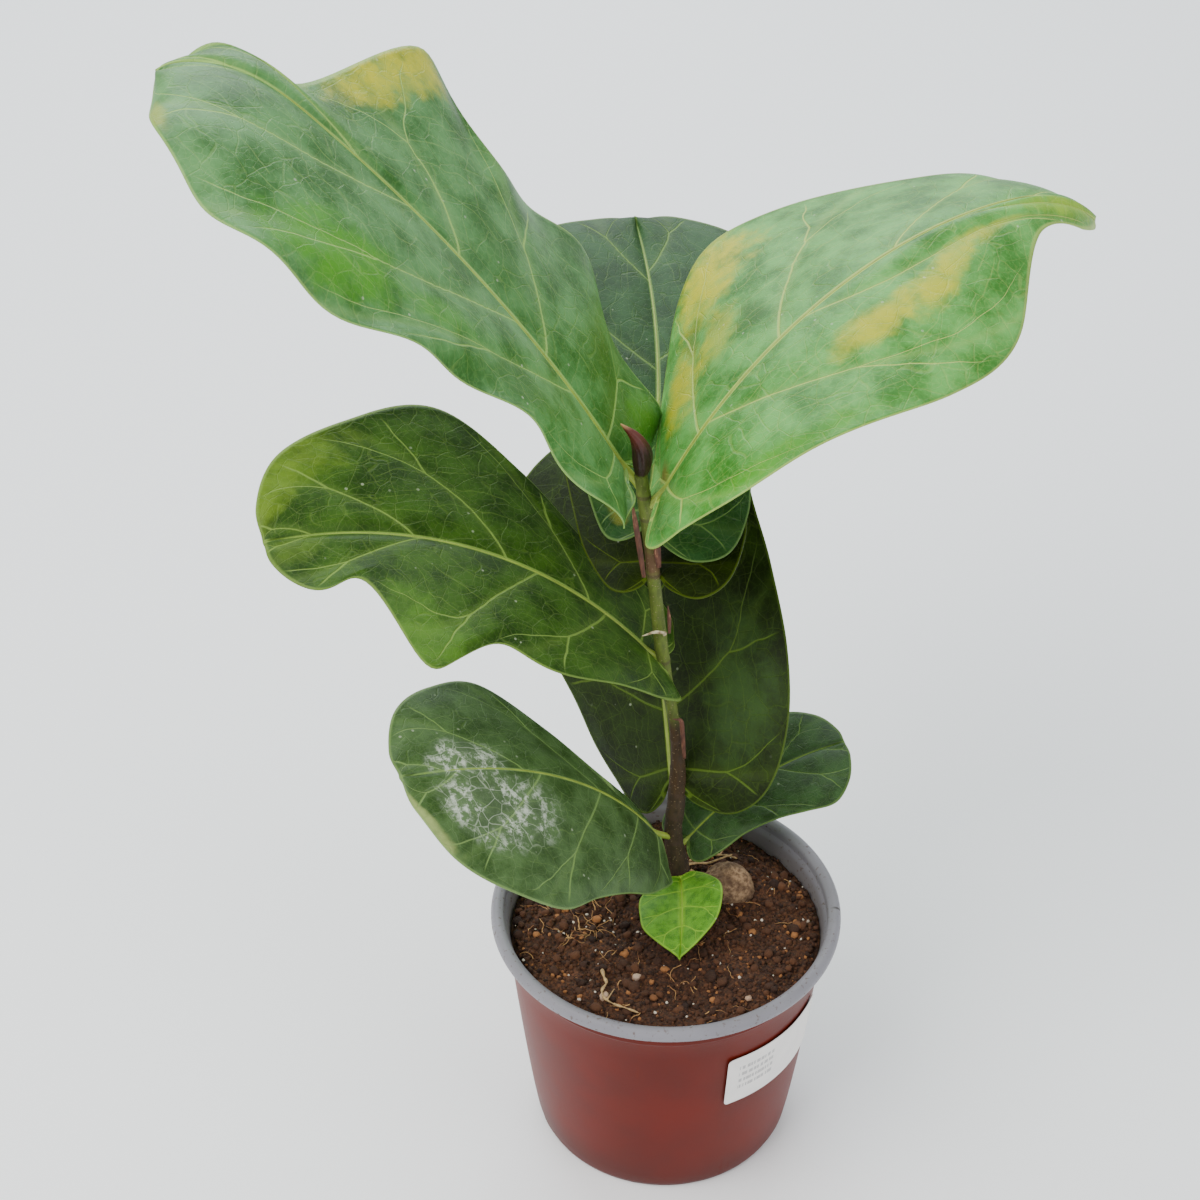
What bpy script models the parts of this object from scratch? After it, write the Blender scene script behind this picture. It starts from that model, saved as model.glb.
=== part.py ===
"""Fiddle leaf fig in a nursery pot, standing on z = 0 with the pot's axis on the origin. Metres, +Z up."""
import bmesh
import bpy
import numpy as np
from math import cos, pi, radians, sin
from mathutils import Vector

for thing in list(bpy.data.objects):
    bpy.data.objects.remove(thing)

MM = 0.001
GAP = 0.3 * MM                  # clearance between pieces that touch

# pot
POT_HEIGHT = 134 * MM
RIM_RADIUS = 85 * MM
LIP_WIDTH = 6.2 * MM
LIP_HEIGHT = 6.5 * MM
WALL = 1.5 * MM
LIP_OVERHANG = 5.6 * MM         # how far the rolled lip stands out from the wall under it
FOOT_TAPER = 15 * MM            # how much smaller the wall is at the foot
FLOOR_HEIGHT = 4 * MM           # underside of the raised floor
FOOT_WIDTH = 3.2 * MM
BOSS_RADIUS = 16 * MM           # flat centre of the base that touches the ground
DRAIN_COUNT = 8
DRAIN_WIDTH = 13 * MM
DRAIN_HEIGHT = 7.5 * MM

WALL_RADIUS = RIM_RADIUS - LIP_OVERHANG - LIP_WIDTH * 0.2
FOOT_RADIUS = WALL_RADIUS - FOOT_TAPER
LIP_BASE = POT_HEIGHT - LIP_HEIGHT

# label on the wall
LABEL_LOW, LABEL_HIGH = 0.49, 0.745     # shares of the pot's height
LABEL_FROM, LABEL_TO = radians(-68), radians(-20)
LABEL_THICKNESS = 0.4 * MM

# soil
SOIL_DROP = 14 * MM             # soil level under the rim
SOIL_LEVEL = POT_HEIGHT - SOIL_DROP
SOIL_SWELL = 1.1 * MM
CLOD_AT = (32 * MM, 26 * MM)
CLOD_RADII = (13 * MM, 12 * MM, 10 * MM)

# stem, measured above the soil
STEM_PATH = ((9, 30, -14), (7, 30, 12), (4, 30.5, 32), (5.5, 31, 60), (4.5, 31.5, 92), (0.5, 33, 118),
             (-3, 33, 142), (-7, 33, 180), (-9, 33, 201), (-12, 33, 226), (-14, 33, 243))
STEM_RADII = (6.2, 5.0, 4.4, 4.3, 3.0, 2.9, 3.2, 3.0, 3.0, 3.1, 3.0)

BLADE = 0.8 * MM                # thickness of a leaf
RIB = 2.1 * MM                  # radius of a large leaf's stalk

TERRACOTTA = (0.20, 0.045, 0.02)
LEAF_GREEN = (0.06, 0.17, 0.04)


def material(name, colour, roughness):
    made = bpy.data.materials.new(name)
    made.use_nodes = True
    shader = made.node_tree.nodes["Principled BSDF"]
    shader.inputs["Base Color"].default_value = (*colour, 1)
    shader.inputs["Roughness"].default_value = roughness
    return made


def add(name, bm, paint=None, smooth=True):
    """The bmesh as a named object; without paint it is a hidden tool for a boolean"""
    bmesh.ops.remove_doubles(bm, verts=bm.verts, dist=1e-7)
    bmesh.ops.recalc_face_normals(bm, faces=bm.faces)
    mesh = bpy.data.meshes.new(name)
    bm.to_mesh(mesh)
    bm.free()
    thing = bpy.data.objects.new(name, mesh)
    bpy.context.scene.collection.objects.link(thing)
    for face in mesh.polygons:
        face.use_smooth = smooth
    if paint is None:
        thing.hide_render = True
        thing.display_type = "WIRE"
    else:
        mesh.materials.append(paint)
    return thing


def boolean(thing, tool, operation):
    step = thing.modifiers.new(tool.name, "BOOLEAN")
    step.object, step.operation, step.solver = tool, operation, "EXACT"


def loft(rings, capped=True):
    """Closed skin over rings of points; a ring of one point is an apex"""
    bm = bmesh.new()
    rows = [[bm.verts.new(p) for p in ring] for ring in rings]
    for low, high in zip(rows, rows[1:]):
        n = max(len(low), len(high))
        for i in range(n):
            j = (i + 1) % n
            if len(low) == 1:
                bm.faces.new((low[0], high[j], high[i]))
            elif len(high) == 1:
                bm.faces.new((low[i], low[j], high[0]))
            else:
                bm.faces.new((low[i], low[j], high[j], high[i]))
    for ring in (rows[0], rows[-1]):
        if capped and len(ring) > 1:
            bm.faces.new(ring)
    return bm


def turned(profile, segments):
    """Solid turned from a closed (radius, height) profile"""
    bm = bmesh.new()
    rings = []
    for radius, height in profile:
        if radius < 1e-9:
            rings.append([bm.verts.new((0, 0, height))] * segments)
        else:
            rings.append([bm.verts.new((radius * cos(2 * pi * i / segments), radius * sin(2 * pi * i / segments), height))
                          for i in range(segments)])
    for a, b in zip(rings, rings[1:] + rings[:1]):
        for i in range(segments):
            j = (i + 1) % segments
            corners = list(dict.fromkeys((a[i], a[j], b[j], b[i])))
            if len(corners) > 2:
                bm.faces.new(corners)
    return bm


def curve(points, share):
    """Smooth curve through the points (Catmull-Rom), at a share of its length from 0 to 1"""
    points = np.asarray(points, float)
    last = len(points) - 1
    ends = np.vstack([2 * points[0] - points[1], points, 2 * points[-1] - points[-2]])
    place = np.clip(share, 0, 1) * last
    i = min(int(place), last - 1)
    u = place - i
    a, b, c, d = ends[i:i + 4]
    return 0.5 * (2 * b + (c - a) * u + (2 * a - 5 * b + 4 * c - d) * u ** 2 + (3 * b - a - 3 * c + d) * u ** 3)


def tube(points, radii, rings, sides=10, flat=1.0, across=(0, 1, 0)):
    """Closed tube along the points; flat squeezes it across one direction to make a scale"""
    centres = [Vector(curve(points, k / rings)) for k in range(rings + 1)]
    sizes = [max(float(curve([(r,) for r in radii], k / rings)[0]), 0.05 * MM) for k in range(rings + 1)]
    out = []
    for k, centre in enumerate(centres):
        along = (centres[min(k + 1, rings)] - centres[max(k - 1, 0)]).normalized()
        side = along.cross(Vector(across)).normalized()
        other = side.cross(along)
        out.append([centre + side * (sizes[k] * cos(2 * pi * i / sides)) + other * (sizes[k] * flat * sin(2 * pi * i / sides))
                    for i in range(sides)])
    return loft(out)


# ---- leaves --------------------------------------------------------------------------------------------

def stem_at(height):
    """Centre of the stem at a height above the soil in mm"""
    x, y, z = zip(*STEM_PATH)
    return np.array([np.interp(height, z, x), np.interp(height, z, y), height]) * MM + np.array([0, 0, SOIL_LEVEL])


def heading(pitch, azimuth):
    p, a = radians(pitch), radians(azimuth)
    return np.array([cos(p) * cos(a), cos(p) * sin(a), sin(p)])


class Leaf:
    """A fiddle-shaped blade on a stalk. Angles in degrees, lengths in mm, widths as shares of the blade's length.

    pitch and azimuth aim the midrib where it leaves the stalk; droop and sweep change them towards the tip, and nod
    bends the last quarter further; roll and twist turn the blade about its midrib. fold lifts each half from the midrib like an open book, and curl bends it
    further towards the margin. A half's widths are auricle, waist, shoulder and crown, from the stalk to the tip.
    """

    def __init__(self, height, stalk, azimuth, pitch, length, droop=-40, nod=0, sweep=0, roll=0, twist=0, stalk_pitch=35,
                 stalk_azimuth=None, fold=(10, 10), fold_tip=None, curl=(0, 0), curl_tip=None, lobe=(0.075, 0.075),
                 left=(0.20, 0.22, 0.32, 0.33), right=(0.20, 0.22, 0.32, 0.33), bumps=(), ribs=24, oval=False):
        self.azimuth, self.pitch, self.length = azimuth, pitch, length * MM
        self.droop, self.sweep, self.roll, self.twist = droop, sweep, roll, twist
        self.fold, self.fold_tip, self.curl, self.curl_tip = fold, fold_tip or fold, curl, curl_tip or curl
        self.lobe, self.widths, self.bumps, self.ribs, self.oval = lobe, (left, right), bumps, ribs, oval
        self.root = stem_at(height)
        stalk_azimuth = azimuth if stalk_azimuth is None else stalk_azimuth
        self.base = self.root + heading(stalk_pitch, stalk_azimuth) * stalk * MM
        steps = np.linspace(0, 1, 121)
        bends = droop * steps + nod * np.clip(4 * steps - 3, 0, 1) ** 2
        self.tangents = np.array([heading(pitch + bend, azimuth + sweep * x) for x, bend in zip(steps, bends)])
        middle = (self.tangents[1:] + self.tangents[:-1]) / 2
        self.centres = np.vstack([np.zeros(3), np.cumsum(middle, 0)]) * self.length / 120 + self.base

    def outline(self, half):
        """(where its rib leaves the midrib, along, out) round the margin from the stalk to the tip"""
        auricle, waist, shoulder, crown = self.widths[half]
        lobe = self.lobe[half]
        if self.oval:
            return [(0, 0, 0), (0.02, -0.5 * lobe, 0.5 * auricle), (0.05, 0.02, auricle), (0.12, 0.13, waist),
                    (0.26, 0.30, shoulder), (0.42, 0.50, shoulder), (0.60, 0.69, crown), (0.76, 0.85, 0.55 * crown),
                    (0.90, 0.94, 0.22 * crown), (1, 1, 0)]
        return [(0, 0, 0), (0, -0.7 * lobe, 0.22 * auricle), (0.005, -lobe, 0.58 * auricle),
                (0.02, -0.45 * lobe, 0.93 * auricle), (0.07, 0.09, 0.55 * auricle + 0.5 * waist), (0.15, 0.24, waist),
                (0.27, 0.42, 0.5 * (waist + shoulder)), (0.41, 0.61, shoulder), (0.57, 0.79, crown),
                (0.75, 0.93, 0.7 * crown), (0.90, 0.995, 0.30 * crown), (1, 1, 0)]

    def frame(self, x):
        """Centre, side and normal of the blade at a share x of its length; x below 0 carries on past the stalk"""
        held = min(max(x, 0), 1)
        i = min(int(held * 120), 119)
        u = held * 120 - i
        tangent = self.tangents[i] * (1 - u) + self.tangents[i + 1] * u
        tangent /= np.linalg.norm(tangent)
        centre = self.centres[i] * (1 - u) + self.centres[i + 1] * u + tangent * (x - held) * self.length
        a, r = radians(self.azimuth + self.sweep * held), radians(self.roll + self.twist * held)
        level = np.array([sin(a), -cos(a), 0])
        lift = np.cross(level, tangent)
        return centre, cos(r) * level - sin(r) * lift, sin(r) * level + cos(r) * lift

    def point(self, half, q, t):
        """Point and normal on rib q, at a share t of the way from the midrib to the margin"""
        root, along, out = curve(self.outline(half), q)
        bump = sum(size * np.exp(-((q - at) / spread) ** 2) for side, at, size, spread in self.bumps if side == half)
        out += bump * min(1, 10 * (1 - q))      # the halves still meet at the tip
        root = min(max(root, 0), 1)
        x = root + (along - root) * t ** 1.25
        centre, side, normal = self.frame(x)
        side = side * (-1, 1)[half]
        held = min(max(x, 0), 1)
        width = 0.33 * self.length
        reach = max(out, 0) * t * self.length / width
        bend = radians(self.curl[half] + (self.curl_tip[half] - self.curl[half]) * held) or 1e-4
        start = radians(self.fold[half] + (self.fold_tip[half] - self.fold[half]) * held)
        end = start + bend * reach
        place = centre + side * width * (sin(end) - sin(start)) / bend - normal * width * (cos(end) - cos(start)) / bend
        tilt = end * min(1, 8 * reach)          # the halves share one normal along the midrib
        return place, normal * cos(tilt) - side * sin(tilt)

    def blade(self, steps=4):
        """The blade as a thin closed plate"""
        bm = bmesh.new()
        faces = {}
        for half in (0, 1):
            for i in range(self.ribs + 1):
                for j in range(steps + 1):
                    place, normal = self.point(half, i / self.ribs, j / steps)
                    for face in (-1, 1):
                        faces[half, face, i, j] = bm.verts.new(place + normal * BLADE / 2 * face)
        for half in (0, 1):
            for i in range(self.ribs):
                for j in range(steps):
                    for face in (-1, 1):
                        # both faces are cut along the same diagonal, so a twisted patch keeps its thickness
                        for cut in (((0, 0), (1, 0), (1, 1)), ((0, 0), (1, 1), (0, 1))):
                            corners = [faces[half, face, i + a, j + b] for a, b in cut]
                            bm.faces.new(corners if (face > 0) == (half > 0) else corners[::-1])
                edge = [faces[half, face, i + a, steps] for a, face in ((0, -1), (1, -1), (1, 1), (0, 1))]
                bm.faces.new(edge if half == 0 else edge[::-1])
        bmesh.ops.remove_doubles(bm, verts=bm.verts, dist=1e-6)
        bmesh.ops.dissolve_degenerate(bm, edges=bm.edges, dist=1e-6)
        return bm

    def stalk(self, thickness):
        """Stalk and raised midrib: from inside the stem, under the blade, thinning out before the tip"""
        path, radii = [self.root, self.root * 0.5 + self.base * 0.5], [thickness, thickness]
        for x in (0.03, 0.14, 0.28, 0.44, 0.60, 0.76):
            centre, _, normal = self.frame(x)
            radius = thickness * (1 - 0.95 * x)
            path.append(centre - normal * radius * 0.75)
            radii.append(radius)
        return tube(path, radii, rings=20, sides=8, across=(0.31, 0.11, 0.94))


LEAVES = {
    "leaf_1": Leaf(234, 15, 182, 62, 278, stalk_pitch=50, stalk_azimuth=155, droop=-23, nod=-73, sweep=-3, roll=-7, twist=6,
                   fold=(3, 10), fold_tip=(0, -6), curl=(1, -22), curl_tip=(-11, 29), lobe=(0.02, 0.08),
                   left=(0.167, 0.217, 0.345, 0.328), right=(0.229, 0.313, 0.374, 0.07),
                   bumps=((0, 0.44, -0.014, 0.06), (0, 0.55, -0.021, 0.06), (0, 0.66, 0.005, 0.06), (0, 0.77, 0.039, 0.06),
                          (0, 0.88, 0.025, 0.06), (1, 0.20, 0.029, 0.06), (1, 0.32, -0.022, 0.06), (1, 0.44, 0.051, 0.06),
                          (1, 0.55, -0.059, 0.06), (1, 0.66, 0.010, 0.06), (1, 0.77, 0.004, 0.06)), ribs=34),
    "leaf_2": Leaf(225, 9, 31, 58, 287, stalk_pitch=45, stalk_azimuth=0, droop=-82, nod=-30, sweep=4, roll=-18,
                   twist=20, fold=(-9, 10), fold_tip=(-13, -29), curl=(0, -13), curl_tip=(0, -59), lobe=(0.03, 0.06),
                   left=(0.07, 0.386, 0.39, 0.234), right=(0.139, 0.258, 0.25, 0.081),
                   bumps=((0, 0.32, -0.035, 0.06), (0, 0.44, -0.004, 0.06), (0, 0.55, 0.065, 0.06), (0, 0.66, -0.028, 0.06),
                          (1, 0.32, -0.009, 0.06), (1, 0.44, -0.014, 0.06), (1, 0.55, 0.027, 0.06), (1, 0.66, -0.026, 0.06)),
                   ribs=32),
    "leaf_3": Leaf(207, 8.5, 82, 18, 208, stalk_azimuth=98, droop=-10, sweep=18, roll=8, twist=-3, fold=(-2, -8),
                   fold_tip=(6, 4), lobe=(0.06, 0.07), left=(0.11, 0.18, 0.32, 0.33), right=(0.20, 0.22, 0.32, 0.33)),
    "leaf_4": Leaf(139, 6, 171, 49, 198, stalk_azimuth=182, droop=-50, sweep=29, roll=-11, twist=-7, fold=(19, -12),
                   fold_tip=(-2, 17), lobe=(0.10, 0.06), left=(0.14, 0.31, 0.36, 0.21), right=(0.19, 0.18, 0.37, 0.29),
                   bumps=((0, 0.73, -0.065, 0.04), (0, 0.66, 0.06, 0.035), (0, 0.56, -0.05, 0.045)), ribs=32),
    "leaf_5": Leaf(30, 12, 208, 61, 167, stalk_azimuth=222, droop=-53, sweep=-1, roll=-27, twist=7, fold=(-3, -32),
                   fold_tip=(-2, -7), lobe=(0.08, 0.04), left=(0.17, 0.30, 0.43, 0.38), right=(0.05, 0.08, 0.36, 0.32)),
    "leaf_6": Leaf(185, 5, 85, 16, 180, droop=-30, sweep=7, roll=-10, twist=7, fold=(0, 2), fold_tip=(4, 9),
                   lobe=(0.07, 0.10), left=(0.14, 0.23, 0.30, 0.30), right=(0.21, 0.23, 0.30, 0.30)),
    "leaf_7": Leaf(61, 6, 97, 51, 211, droop=-47, sweep=3, roll=-29, stalk_azimuth=130, fold=(-14, 1), fold_tip=(3, 10),
                   lobe=(0.08, 0.09), left=(0.15, 0.25, 0.36, 0.34), right=(0.25, 0.32, 0.30, 0.35)),
    "leaf_8": Leaf(21, 9, 33, 37, 93, droop=-34, sweep=-16, roll=7, twist=6, fold=(3, 5), fold_tip=(2, 1),
                   left=(0.20, 0.22, 0.32, 0.29), right=(0.19, 0.23, 0.33, 0.35)),
    "leaf_9": Leaf(5, 9, 272, 5, 57, droop=-9, sweep=-8, roll=12, fold=(18, 12), lobe=(0.02, 0.02), oval=True,
                   left=(0.15, 0.27, 0.38, 0.32), right=(0.14, 0.26, 0.36, 0.32), ribs=16),
}

# ---- pot, label and soil ---------------------------------------------------------------------------------

terracotta = material("terracotta plastic", TERRACOTTA, 0.45)


def wall_radius(height):
    """Outside of the wall: a straight taper that tucks in near the foot"""
    share = height / LIP_BASE
    return FOOT_RADIUS + (WALL_RADIUS - FOOT_RADIUS) * share ** 0.8


heights = [LIP_BASE * k for k in (0.0, 0.03, 0.10, 0.22, 0.40, 0.62, 0.86)]
outside = [(wall_radius(z) - (1.6 * MM if z == 0 else 0), z) for z in heights]
step = 1.1 * MM                 # shallow shoulder under the lip
shoulder = [(WALL_RADIUS - step * 0.2, LIP_BASE - 10 * MM), (WALL_RADIUS + step * 0.5, LIP_BASE - 8.5 * MM)]
lip_mid = RIM_RADIUS - LIP_WIDTH / 2
lip = [(WALL_RADIUS + step * 0.5, LIP_BASE), (RIM_RADIUS - 1.2 * MM, LIP_BASE)]
lip += [(RIM_RADIUS, LIP_BASE + 1.5 * MM), (RIM_RADIUS, POT_HEIGHT - 2.2 * MM), (RIM_RADIUS - 0.8 * MM, POT_HEIGHT - 0.8 * MM),
        (lip_mid + 0.4 * MM, POT_HEIGHT), (lip_mid - 1.4 * MM, POT_HEIGHT - 0.5 * MM), (RIM_RADIUS - LIP_WIDTH, POT_HEIGHT - 2 * MM)]
inside = [(WALL_RADIUS - step * 0.5 - WALL, LIP_BASE - 9 * MM)]
inside += [(wall_radius(z) - WALL, z) for z in reversed(heights[2:-1])]
inside += [(FOOT_RADIUS - FOOT_WIDTH - 0.4 * MM, FLOOR_HEIGHT + WALL)]
floor = [(0, FLOOR_HEIGHT + WALL), (0, 0), (BOSS_RADIUS, 0), (BOSS_RADIUS + 2 * MM, FLOOR_HEIGHT - 1 * MM),
         (FOOT_RADIUS - FOOT_WIDTH - 4 * MM, FLOOR_HEIGHT), (FOOT_RADIUS - FOOT_WIDTH - 1.6 * MM, FLOOR_HEIGHT - 1 * MM),
         (FOOT_RADIUS - FOOT_WIDTH, 0)]
pot = add("pot", turned(outside + shoulder + lip + inside + floor, 72), terracotta)

for k in range(DRAIN_COUNT):
    angle = radians(-119 + 360 * k / DRAIN_COUNT)
    bm = bmesh.new()
    bmesh.ops.create_cube(bm, size=1)
    for v in bm.verts:
        radial, tangential, up = v.co.x * 14 * MM + FOOT_RADIUS - 2 * MM, v.co.y * DRAIN_WIDTH, v.co.z * DRAIN_HEIGHT
        tangential *= 0.7 if up > 0 else 1
        up += DRAIN_HEIGHT / 2 - 1.0 * MM
        v.co = (radial * cos(angle) - tangential * sin(angle), radial * sin(angle) + tangential * cos(angle), up)
    boolean(pot, add(f"drain_cutter_{k + 1}", bm), "DIFFERENCE")

bm = bmesh.new()
columns, rows = 14, 3
grid = {}
for i in range(columns + 1):
    angle = LABEL_FROM + (LABEL_TO - LABEL_FROM) * i / columns
    for j in range(rows + 1):
        z = POT_HEIGHT * (LABEL_LOW + (LABEL_HIGH - LABEL_LOW) * j / rows)
        for layer in (0, 1):
            r = wall_radius(z) + GAP + 0.35 * MM + LABEL_THICKNESS * layer
            grid[i, j, layer] = bm.verts.new((r * cos(angle), r * sin(angle), z))
for i in range(columns):
    for j in range(rows):
        for layer in (0, 1):
            bm.faces.new([grid[i + a, j + b, layer] for a, b in ((0, 0), (1, 0), (1, 1), (0, 1))])
for i in range(columns):
    for j in (0, rows):
        bm.faces.new([grid[i, j, 0], grid[i + 1, j, 0], grid[i + 1, j, 1], grid[i, j, 1]])
for j in range(rows):
    for i in (0, columns):
        bm.faces.new([grid[i, j, 0], grid[i, j + 1, 0], grid[i, j + 1, 1], grid[i, j, 1]])
add("label", bm, material("label paper", (0.85, 0.84, 0.80), 0.6))


def soil_height(x, y):
    """Gently uneven soil, a little higher round the stem"""
    swell = sin(95 * x + 1.0) * cos(80 * y) + 0.6 * sin(170 * y + 60 * x)
    mound = 2.2 * MM * np.exp(-((x - 10 * MM) ** 2 + (y - 30 * MM) ** 2) / (28 * MM) ** 2)
    return SOIL_LEVEL + SOIL_SWELL * swell + mound


SOIL_GAP = GAP + 0.35 * MM      # the wall and the soil are both faceted
soil_levels = [FLOOR_HEIGHT + WALL + SOIL_GAP] + [SOIL_LEVEL * k for k in (0.12, 0.3, 0.55, 0.8)]
rings = [[(0, 0, soil_levels[0])]]
for z in soil_levels:
    r = wall_radius(z) - WALL - SOIL_GAP - (5 * MM if z == soil_levels[0] else 0.4 * MM)
    rings.append([(r * cos(2 * pi * i / 56), r * sin(2 * pi * i / 56), z) for i in range(56)])
top_radius = wall_radius(SOIL_LEVEL - 3 * MM) - WALL - SOIL_GAP - 0.6 * MM
for share in (1.0, 0.93, 0.8, 0.66, 0.52, 0.38, 0.24, 0.11):
    r = top_radius * share
    ring = [(r * cos(2 * pi * i / 56), r * sin(2 * pi * i / 56)) for i in range(56)]
    rings.append([(x, y, soil_height(x, y) - (1.5 * MM if share == 1 else 0)) for x, y in ring])
rings.append([(0, 0, soil_height(0, 0))])
soil = add("soil", loft(rings), material("potting soil", (0.055, 0.022, 0.010), 0.95))


def clod(margin):
    bm = bmesh.new()
    bmesh.ops.create_icosphere(bm, subdivisions=3, radius=1)
    for v in bm.verts:
        x, y, z = v.co
        bulge = 1 + 0.06 * sin(4 * x + 3 * y) + 0.05 * cos(5 * z + 2 * x)
        v.co = Vector([n * (r + margin) * bulge for n, r in zip((x, y, z), CLOD_RADII)])
        v.co += Vector((*CLOD_AT, SOIL_LEVEL + 2 * MM))
    return bm


add("clod", clod(0), material("clod", (0.09, 0.045, 0.022), 0.95))
boolean(soil, add("clod_socket_cutter", clod(GAP * 1.3)), "DIFFERENCE")

# ---- stem and bud --------------------------------------------------------------------------------------


def stem(margin):
    points = [(x * MM, y * MM, z * MM + SOIL_LEVEL) for x, y, z in STEM_PATH]
    for end, way in ((0, -1), (-1, 1)):
        points[end] = (points[end][0], points[end][1], points[end][2] + way * margin)
    return tube(points, [r * MM + margin for r in STEM_RADII], rings=40, sides=14)


bark = material("bark", (0.10, 0.055, 0.03), 0.85)
add("stem", stem(0), bark)
boolean(soil, add("stem_socket_cutter", stem(GAP)), "DIFFERENCE")

top = stem_at(STEM_PATH[-1][2])
bud_path = [top + np.array(p) * MM for p in ((0, 0, 0.5), (0.5, -1, 7), (0, -1.5, 14), (-3, -1.5, 21), (-9, -1, 27))]
bud = add("bud", tube(bud_path, [r * MM for r in (2.6, 4.3, 4.2, 2.6, 0.5)], rings=16, sides=12),
          material("bud scale", (0.07, 0.02, 0.015), 0.5))
seat = add("stem_clearance", stem(GAP * 1.3))
boolean(bud, seat, "DIFFERENCE")

# dry scales left at the nodes: a path out from the stem's centre line, its half width, and its direction of flatness
dry = material("dry scale", (0.12, 0.05, 0.03), 0.8)
SCALES = {
    "scale_1": ([(3.6, -5.0, 84), (3.8, -5.4, 100), (4.0, -5.4, 107), (0.4, -6.0, 108.5)], 1.1),
    "scale_2": ([(2.0, -4.6, 157), (2.4, -5.6, 159), (-2, -6.4, 160.2), (-8, -7.2, 158.5)], 0.9),
    "scale_3": ([(4.6, -4.2, 158), (5.2, -4.4, 166), (5.3, -4.4, 174)], 0.9),
    "scale_4": ([(-4.2, -4.2, 190), (-4.6, -5.0, 204), (-4.9, -5.0, 220), (-5.2, -4.6, 232)], 1.3),
    "scale_5": ([(3.0, -5.0, 196), (3.2, -5.6, 206), (4.2, -5.4, 216)], 1.6),
}
for name, (path, half_width) in SCALES.items():
    points = [stem_at(z) + np.array([x, y, 0]) * MM for x, y, z in path]
    add(name, tube(points, [half_width * k * MM for k in (0.7, 1.0, 0.9, 0.35)][:len(points) - 1] + [0.3 * MM],
                   rings=10, sides=8, flat=0.45, across=(0, -1, 0.2)), dry)

# surface roots: plan positions in mm, each lying on the soil
root_skin = material("root", (0.45, 0.33, 0.20), 0.8)
ROOTS = {
    "root_1": ([(13, 41), (20, 45), (28, 46), (37, 43)], 0.9),
    "root_2": ([(-31, -33), (-29, -42), (-31, -50), (-22, -57), (-14, -61)], 1.0),
}
for name, (plan, half_width) in ROOTS.items():
    points = [(x * MM, y * MM, soil_height(x * MM, y * MM) + half_width * MM + GAP + 0.8 * MM) for x, y in plan]
    add(name, tube(points, [half_width * MM] * (len(points) - 1) + [0.4 * MM], rings=14, sides=8, across=(0, 0, 1)), root_skin)

# ---- leaves ---------------------------------------------------------------------------------------------

leaf_skin = material("leaf", LEAF_GREEN, 0.4)
for name, leaf in LEAVES.items():
    thing = add(name, leaf.blade(), leaf_skin)
    stalk = add(f"{name}_stalk", leaf.stalk(RIB * (0.55 + 0.45 * leaf.length / 0.275)))
    for piece in (thing, stalk):
        boolean(piece, seat, "DIFFERENCE")
    boolean(thing, stalk, "UNION")
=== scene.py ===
"""A young fiddle leaf fig in a nursery pot. Builds every piece's looks round the packed solids, in metres, +Z up."""

import random
from functools import reduce
from math import cos, pi, radians, sin

import bmesh
import bpy
import numpy as np
from bpy.props import FloatProperty, FloatVectorProperty, IntProperty, PointerProperty
from bpy.types import Operator, Panel, PropertyGroup
from mathutils import Matrix, Vector, noise


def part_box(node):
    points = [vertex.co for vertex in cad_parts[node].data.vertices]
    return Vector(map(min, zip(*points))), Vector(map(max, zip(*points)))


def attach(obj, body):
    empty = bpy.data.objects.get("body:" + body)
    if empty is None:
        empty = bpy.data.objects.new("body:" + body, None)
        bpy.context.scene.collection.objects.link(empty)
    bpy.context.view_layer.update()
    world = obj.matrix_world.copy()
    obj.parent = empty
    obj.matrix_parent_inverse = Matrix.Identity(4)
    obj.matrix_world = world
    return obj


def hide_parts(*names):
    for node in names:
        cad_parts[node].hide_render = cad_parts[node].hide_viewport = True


bl_info = {
    "name": "Potted Fiddle Leaf Fig",
    "version": (1, 0, 0),
    "blender": (4, 5, 0),
    "location": "View3D > Sidebar > Fig",
    "description": "Builds a young fiddle leaf fig in its nursery pot",
    "category": "Object",
}

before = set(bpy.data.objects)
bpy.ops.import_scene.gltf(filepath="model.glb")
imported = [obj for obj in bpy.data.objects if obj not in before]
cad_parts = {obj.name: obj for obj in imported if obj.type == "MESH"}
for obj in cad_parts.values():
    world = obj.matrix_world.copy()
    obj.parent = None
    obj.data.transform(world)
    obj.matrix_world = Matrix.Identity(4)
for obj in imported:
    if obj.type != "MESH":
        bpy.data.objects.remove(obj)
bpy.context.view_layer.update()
POT_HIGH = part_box("pot")[1]
MM = 0.001
SOIL_DROP = 14 * MM


def tint(red, green, blue):
    """A colour named in the 0 to 255 steps of a paint chart, as the shader's linear light"""
    return tuple((c / 255 / 12.92) if c <= 10 else ((c / 255 + 0.055) / 1.055) ** 2.4 for c in (red, green, blue))


# ---- shader maths --------------------------------------------------------------------------------------


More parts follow.
